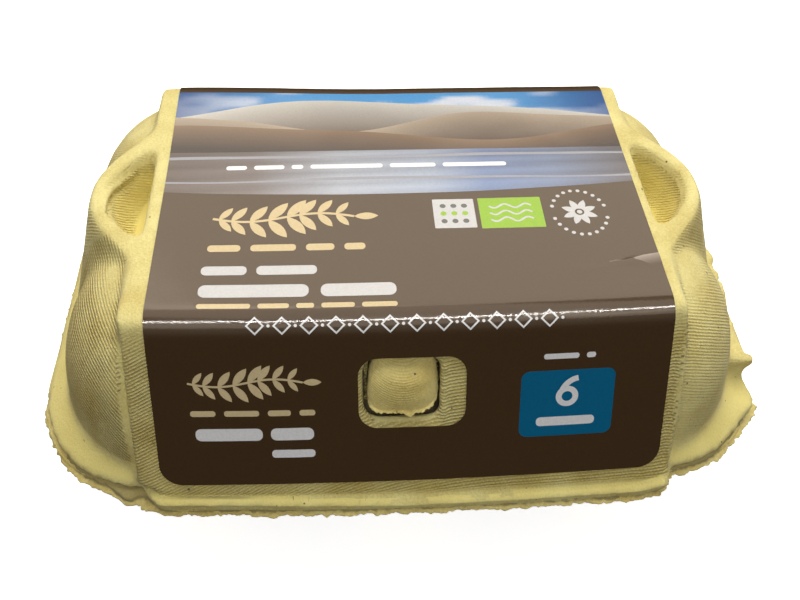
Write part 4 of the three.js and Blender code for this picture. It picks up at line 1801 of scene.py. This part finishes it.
@dataclass
class LabelSheet:
    """The paper sheet over the lid, cut into its fields of ink and folded over the edges.

    Attributes:
        left: its left edge.
        right: its right edge.
        stand: how far its face stands off the lid.
        fold_radius: radius of the folds along front and back.
        thick: its thickness.
        corner: radius of its corners.
        drop_front: how far under the top it ends in front.
        drop_back: how far under the top it ends at the back.
        window: left, right, upper and lower edge of the opening round the latch.
        window_corner: radius of the opening's corners.
        cell: the spacing of the points that keep its triangles small.
        pinch_cell: their spacing round the pinch, across and along.
        side: the longest side of an outline.
        fold_steps: how many rows of points each fold has.
        weld: how close two points of the flat sheet may lie before they become one.
        wave: height of its broad waves.
        ripple: height of its small waves.
        pinch_place: the place of the pinch at its right edge.
        pinch: height of the pinch.
        crease: height of the crease beside it.
    """

    plan: CartonPlan
    left: float = -47.6
    right: float = 48.4
    stand: float = 0.45
    fold_radius: float = 5.6
    thick: float = 0.16
    corner: float = 4.2
    drop_front: float = 30.2
    drop_back: float = 15.0
    window: tuple[float, float, float, float] = (-9.9, 10.1, 6.7, 19.7)
    window_corner: float = 3.6
    cell: float = 1.2
    pinch_cell: tuple[float, float] = (0.6, 0.45)
    side: float = 0.8
    fold_steps: int = 12
    weld: float = 1e-4
    wave: float = 0.09
    ripple: float = 0.02
    pinch_place: tuple[float, float] = (44.0, 23.6)
    pinch: float = 0.14
    crease: float = 0.05

    def __post_init__(self) -> None:
        """Works out the folded section."""
        plan = self.plan
        lean = math.hypot(1, plan.panel_slope)
        self.turn = math.pi / 2 - plan.slope_angle
        edge = plan.top_half_depth + self.stand * (lean - plan.panel_slope)
        self.flat = edge - self.fold_radius * math.tan(self.turn / 2)
        self.fold = self.fold_radius * self.turn

    def along_of_drop(self, drop: float) -> float:
        """The place along the sheet that lies this far under the carton's top."""
        after = self.stand - self.fold_radius * (1 - math.cos(self.turn))
        return self.flat + self.fold + (drop + after) / math.sin(self.turn)

    def folded(self, x: np.ndarray, s: np.ndarray, out: np.ndarray) -> np.ndarray:
        """Places of the flat sheet on the folded one, lifted by out.

        Args:
            x: places across the sheet.
            s: places along the sheet.
            out: how far each place is lifted.

        Returns:
            The points, one row each.
        """
        side = np.sign(s)
        far = np.abs(s)
        angle = np.clip((far - self.flat) / self.fold_radius, 0, self.turn)
        beyond = np.maximum(far - self.flat - self.fold, 0)
        y = np.minimum(far, self.flat) + self.fold_radius * np.sin(angle) + beyond * np.cos(angle)
        z = (self.plan.top + self.stand - self.fold_radius * (1 - np.cos(angle))
             - beyond * np.sin(angle))
        return np.stack([x, -side * (y + out * np.sin(angle)), z + out * np.cos(angle)], 1)

    def relief(self, x: np.ndarray, s: np.ndarray) -> np.ndarray:
        """How far the paper waves and creases out of its plane.

        Args:
            x: places across the sheet.
            s: places along the sheet.

        Returns:
            How far each place is lifted.
        """
        flat = np.stack([x, s, np.zeros(len(x))], 1)
        wave = (self.wave * noise_at(flat * [1, 0.8, 1], 17.0, 9.0)
                + self.ripple * noise_at(flat, 5.0, 10.0))
        across, along = x - self.pinch_place[0], s - self.pinch_place[1]
        wedge = np.clip(0.45 * (across + 6.0), 0.2, 4.5)
        pinch = self.pinch * smoothstep(-6, -1, across) * hump(along / wedge + 0.2, 0.5)
        crease = self.crease * hump(x - 34, 5.0) * hump(s - 24.6 + 0.1 * (x - 35), 0.5)
        return wave + pinch + crease

    def border_outline(self) -> Outline:
        """The whole sheet's outline with its four rounded corners."""
        return rounded(self.left, self.right, -self.along_of_drop(self.drop_back),
                       self.along_of_drop(self.drop_front), self.corner, 8)

    def window_outline(self) -> Outline:
        """The outline of the opening round the latch.

        Returns:
            The outline.
        """
        left, right, near, far = self.window
        return rounded(left, right, self.along_of_drop(near), self.along_of_drop(far),
                       self.window_corner, 8)

    def loose_points(self, low: float, high: float) -> list[tuple[float, float]]:
        """Points that keep the sheet's triangles small, closer along the folds and the pinch.

        Args:
            low: the sheet's back end.
            high: its front end.

        Returns:
            The places across and along.
        """
        columns = np.arange(self.left + self.cell / 2, self.right, self.cell)
        rows = list(np.arange(low + self.cell / 2, high, self.cell))
        for side in (-1, 1):
            rows += [side * (self.flat + self.fold * k / self.fold_steps)
                     for k in range(self.fold_steps + 1)]
        made = [(float(x) + (0.37 * self.cell if n % 2 else 0.0), float(s))
                for n, s in enumerate(rows) for x in columns]
        across, along = self.pinch_cell
        made += [(float(x), float(s)) for x in np.arange(33, 48, across)
                 for s in np.arange(20, 29.6, along)]
        return made

    def build(self) -> bpy.types.Object:
        """Makes the sheet with its ink.

        Returns:
            The piece.
        """
        drawing = LabelPrint(self.along_of_drop, self.left, self.right)
        fields = drawing.fields()
        whole = PrintField(self.border_outline(), drawing.brown)
        opening = PrintField(self.window_outline(), drawing.brown)
        flat, triangles = self.cut(whole, [opening, *fields])
        centre = flat[triangles].mean(1)
        keep = whole.holds(*centre.T) & ~opening.holds(*centre.T)
        triangles, centre = triangles[keep], centre[keep]
        corners = flat[triangles].reshape(-1, 2)
        ink = np.tile(drawing.brown, (len(corners), 1)).astype(float)
        for one in fields:
            chosen = np.repeat(one.holds(*centre.T), 3)
            if chosen.any():
                ink[chosen] = one.colours(*corners[chosen].T)
        points = self.plan.bowed(self.folded(*flat.T, self.relief(*flat.T)))
        sheet = add_mesh("paper_label", points, triangles.tolist())
        kept = sheet.data.color_attributes.new("print", "FLOAT_COLOR", "CORNER")
        rgba = np.column_stack([ink, np.ones(len(ink))]).astype(np.float32)
        kept.data.foreach_set("color", rgba.ravel())
        self.thicken(sheet)
        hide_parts("label")
        return sheet

    def cut(self, whole: PrintField, fields: list[PrintField]) -> tuple[np.ndarray, np.ndarray]:
        """Cuts the flat sheet along all outlines into small triangles.

        Args:
            whole: the whole sheet.
            fields: what lies on it.

        Returns:
            The places of the corners, and for each triangle the numbers of its three.
        """
        verts, edges = [], []
        for field in [whole, *fields]:
            outline = with_short_sides(field.outline, self.side)
            start, count = len(verts), len(outline)
            verts += outline
            edges += [(start + k, start + (k + 1) % count) for k in range(count)]
        along = [s for _, s in whole.outline]
        inner = np.array(self.loose_points(min(along), max(along)))
        verts += [tuple(p) for p in inner[whole.holds(*inner.T)]]
        places, _, faces, *_ = geometry.delaunay_2d_cdt([Vector(p) for p in verts], edges, [], 0,
                                                        self.weld)
        return np.array([tuple(p) for p in places]), np.array([list(f) for f in faces])

    def thicken(self, sheet: bpy.types.Object) -> None:
        """Gives the sheet its thickness, inwards.

        Args:
            sheet: the piece, whose mesh is replaced.
        """
        work = bmesh.new()
        work.from_mesh(sheet.data)
        bmesh.ops.recalc_face_normals(work, faces=work.faces)
        if sum(f.normal.z * f.calc_area() for f in work.faces) < 0:
            bmesh.ops.reverse_faces(work, faces=work.faces)
        loose = [v for v in work.verts if not v.link_faces]
        bmesh.ops.delete(work, geom=loose, context="VERTS")
        work.to_mesh(sheet.data)
        work.free()
        paper = sheet.modifiers.new("Paper", "SOLIDIFY")
        paper.thickness = self.thick * MM
        paper.offset = -1.0
        depsgraph = bpy.context.evaluated_depsgraph_get()
        solid = bpy.data.meshes.new_from_object(sheet.evaluated_get(depsgraph))
        sheet.modifiers.clear()
        sheet.data = solid
        solid.shade_smooth()
        solid.set_sharp_from_angle(angle=math.radians(40))


# The room

@dataclass(frozen=True)
class SoftLight:
    """A flat soft light that faces the carton.

    Attributes:
        name: its name.
        place: its middle in millimetres.
        size: its width and height.
        power: its power in watts.
        tint: its colour.
        mirrored: whether glossy paper mirrors it.
        lighting: whether it lights matt surfaces.
    """

    name: str
    place: tuple[float, float, float]
    size: tuple[float, float]
    power: float
    tint: Colour = (1.0, 1.0, 1.0)
    mirrored: bool = True
    lighting: bool = True

    def add(self) -> None:
        """Makes the light."""
        lamp = bpy.data.lights.new(self.name, "AREA")
        lamp.shape = "RECTANGLE"
        lamp.size = self.size[0] * MM
        lamp.size_y = self.size[1] * MM
        lamp.energy = self.power
        lamp.color = self.tint
        made = bpy.data.objects.new(self.name, lamp)
        made.location = Vector(self.place) * MM
        away = Vector((0, 0, 60 * MM)) - made.location
        made.rotation_euler = away.to_track_quat("-Z", "Y").to_euler()
        made.visible_glossy = self.mirrored
        made.visible_diffuse = self.lighting
        bpy.context.scene.collection.objects.link(made)


@dataclass
class Studio:
    """A pale floor, soft lights and the camera at the photograph's viewing angle."""

    place: tuple[float, float, float] = (-11.5, -139.06, 189.86)
    yaw: float = 0.089
    pitch: float = 0.841
    roll: float = 0.039
    focal_pixels: float = 893.5
    frame_width: float = 800.0
    sensor: float = 36.0
    floor_radius: float = 1800.0
    floor_curve: float = 700.0
    floor_height: float = 2600.0
    floor_tone: Colour = (0.86, 0.86, 0.86)
    floor_glow: float = 0.74
    lights: tuple[SoftLight, ...] = (
        SoftLight("overhead", (70.0, 290.0, 740.0), (560.0, 560.0), 3.8, (0.98, 0.99, 1.0),
                  mirrored=False),
        SoftLight("front_fill", (60.0, -640.0, 560.0), (300.0, 300.0), 1.62, (1.0, 1.0, 1.0),
                  mirrored=False),
        SoftLight("behind", (20.0, 600.0, 830.0), (1700.0, 520.0), 5.7, (1.0, 0.86, 0.70)),
        SoftLight("fold_strip", (20.0, -370.0, 830.0), (900.0, 9.0), 5.0, (1.0, 0.95, 0.90),
                  lighting=False),
        SoftLight("top_glow", (20.0, 20.0, 950.0), (1700.0, 620.0), 4.2, (1.0, 0.88, 0.74),
                  lighting=False),
        SoftLight("fold_glow", (20.0, -560.0, 700.0), (900.0, 220.0), 0.9, (1.0, 0.86, 0.72),
                  lighting=False),
    )
    world_tones: tuple[tuple[float, float], ...] = (
        (0.0, 0.02), (0.5, 0.03), (0.6, 0.06), (0.75, 0.3), (1.0, 0.42))

    def build(self) -> None:
        """Makes the floor, the lights and the camera."""
        self.add_floor()
        for light in self.lights:
            light.add()
        self.add_world()
        self.add_camera()
        bpy.context.scene.view_settings.view_transform = "Standard"

    def add_floor(self) -> None:
        """A plain pale floor under the carton, which curves up far away."""
        around = np.radians(np.arange(0, 360, 5))
        rings = [(self.floor_radius, 0.0)]
        rings += [(self.floor_radius + self.floor_curve * math.sin(a),
                   self.floor_curve * (1 - math.cos(a))) for a in np.radians(np.arange(10, 91, 10))]
        rings.append((rings[-1][0], self.floor_height))
        points = [(0.0, 0.0, 0.0)]
        points += [(r * math.cos(a), r * math.sin(a), z) for r, z in rings for a in around]
        count = len(around)
        faces = [(0, 1 + k, 1 + (k + 1) % count) for k in range(count)]
        for ring in range(len(rings) - 1):
            low = 1 + ring * count
            faces += [(low + k, low + count + k, low + count + (k + 1) % count,
                       low + (k + 1) % count) for k in range(count)]
        floor = add_mesh("floor", np.array(points), faces)
        made, g = new_material("pale_floor")
        g.surface({"Base Color": (*self.floor_tone, 1.0), "Roughness": 0.9,
                   "Emission Color": (1.0, 1.0, 1.0, 1.0), "Emission Strength": self.floor_glow})
        floor.data.materials.append(made)
        floor.visible_glossy = False
        floor.visible_diffuse = False

    def add_world(self) -> None:
        """A pale room that is bright overhead and dark near the floor."""
        world = bpy.data.worlds.new("soft_room")
        world.use_nodes = True
        g = NodeMaker(world.node_tree)
        place = g.node("TexCoord").outputs["Generated"]
        height = g.spread(g.node("SeparateXYZ", {0: place}).outputs["Z"], -1.0, 1.0)
        ramp = g.node("ValToRGB", {"Fac": height})
        stops = ramp.color_ramp.elements
        while len(stops) < len(self.world_tones):
            stops.new(0.5)
        for stop, (place_up, tone) in zip(stops, self.world_tones):
            stop.position = place_up
            stop.color = (tone, tone * 0.97, tone * 0.93, 1.0)
        g.feed(world.node_tree.nodes["Background"].inputs["Color"], ramp.outputs["Color"])
        bpy.context.scene.world = world

    def add_camera(self) -> None:
        """The camera, whose lens follows from the frame's width in pixels."""
        lens = bpy.data.cameras.new("camera")
        lens.sensor_width = self.sensor
        lens.lens = self.focal_pixels * self.sensor / self.frame_width
        lens.clip_start = 0.01
        lens.clip_end = 20.0
        camera = bpy.data.objects.new("camera", lens)
        ahead = Vector((math.sin(self.yaw) * math.cos(self.pitch),
                        math.cos(self.yaw) * math.cos(self.pitch), -math.sin(self.pitch)))
        right = Vector((math.cos(self.yaw), -math.sin(self.yaw), 0))
        up = right.cross(ahead)
        across = math.cos(self.roll) * right + math.sin(self.roll) * up
        upward = -math.sin(self.roll) * right + math.cos(self.roll) * up
        turn = Matrix((across, upward, -ahead)).transposed()
        camera.matrix_world = Matrix.Translation(Vector(self.place) * MM) @ turn.to_4x4()
        bpy.context.scene.collection.objects.link(camera)
        bpy.context.scene.camera = camera


def main() -> None:
    """Builds each piece of the carton, dresses it and sets it in the room."""
    logging.basicConfig(level=logging.INFO, format="%(name)s: %(message)s")
    plan = CartonPlan.from_frame()
    imprint, grain = screen_imprint_group(), pulp_grain_group()
    lid_pulp = PulpFinish("lid_pulp", pale=srgb(230, 219, 149), deep=srgb(200, 181, 106),
                          grain=0.18)
    # The tray's shade colour is near black, for the painted shadow behind and round the knob and under
    # the lid's rim.
    tray_pulp = PulpFinish("tray_pulp", pale=srgb(232, 216, 140), deep=srgb(204, 182, 102),
                           shade_colour=(0.14, 0.11, 0.05), grain=0.24, shade=0.15)
    lid_look = lid_pulp.material(imprint, grain)
    tray_look = tray_pulp.material(imprint, grain)
    paper_look = PaperFinish("label_paper").material()
    pieces = [(LidShell(plan), lid_look), (TrayShell(plan), tray_look),
              (TornRim(plan), tray_look), (LatchKnob(plan), tray_look),
              (LabelSheet(plan), paper_look)]
    for maker, look in pieces:
        made = maker.build()
        made.data.materials.clear()
        made.data.materials.append(look)
        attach(made, "root")
        log.info("%s has %d faces", made.name, len(made.data.polygons))
    Studio().build()


if __name__ == "__main__":
    main()
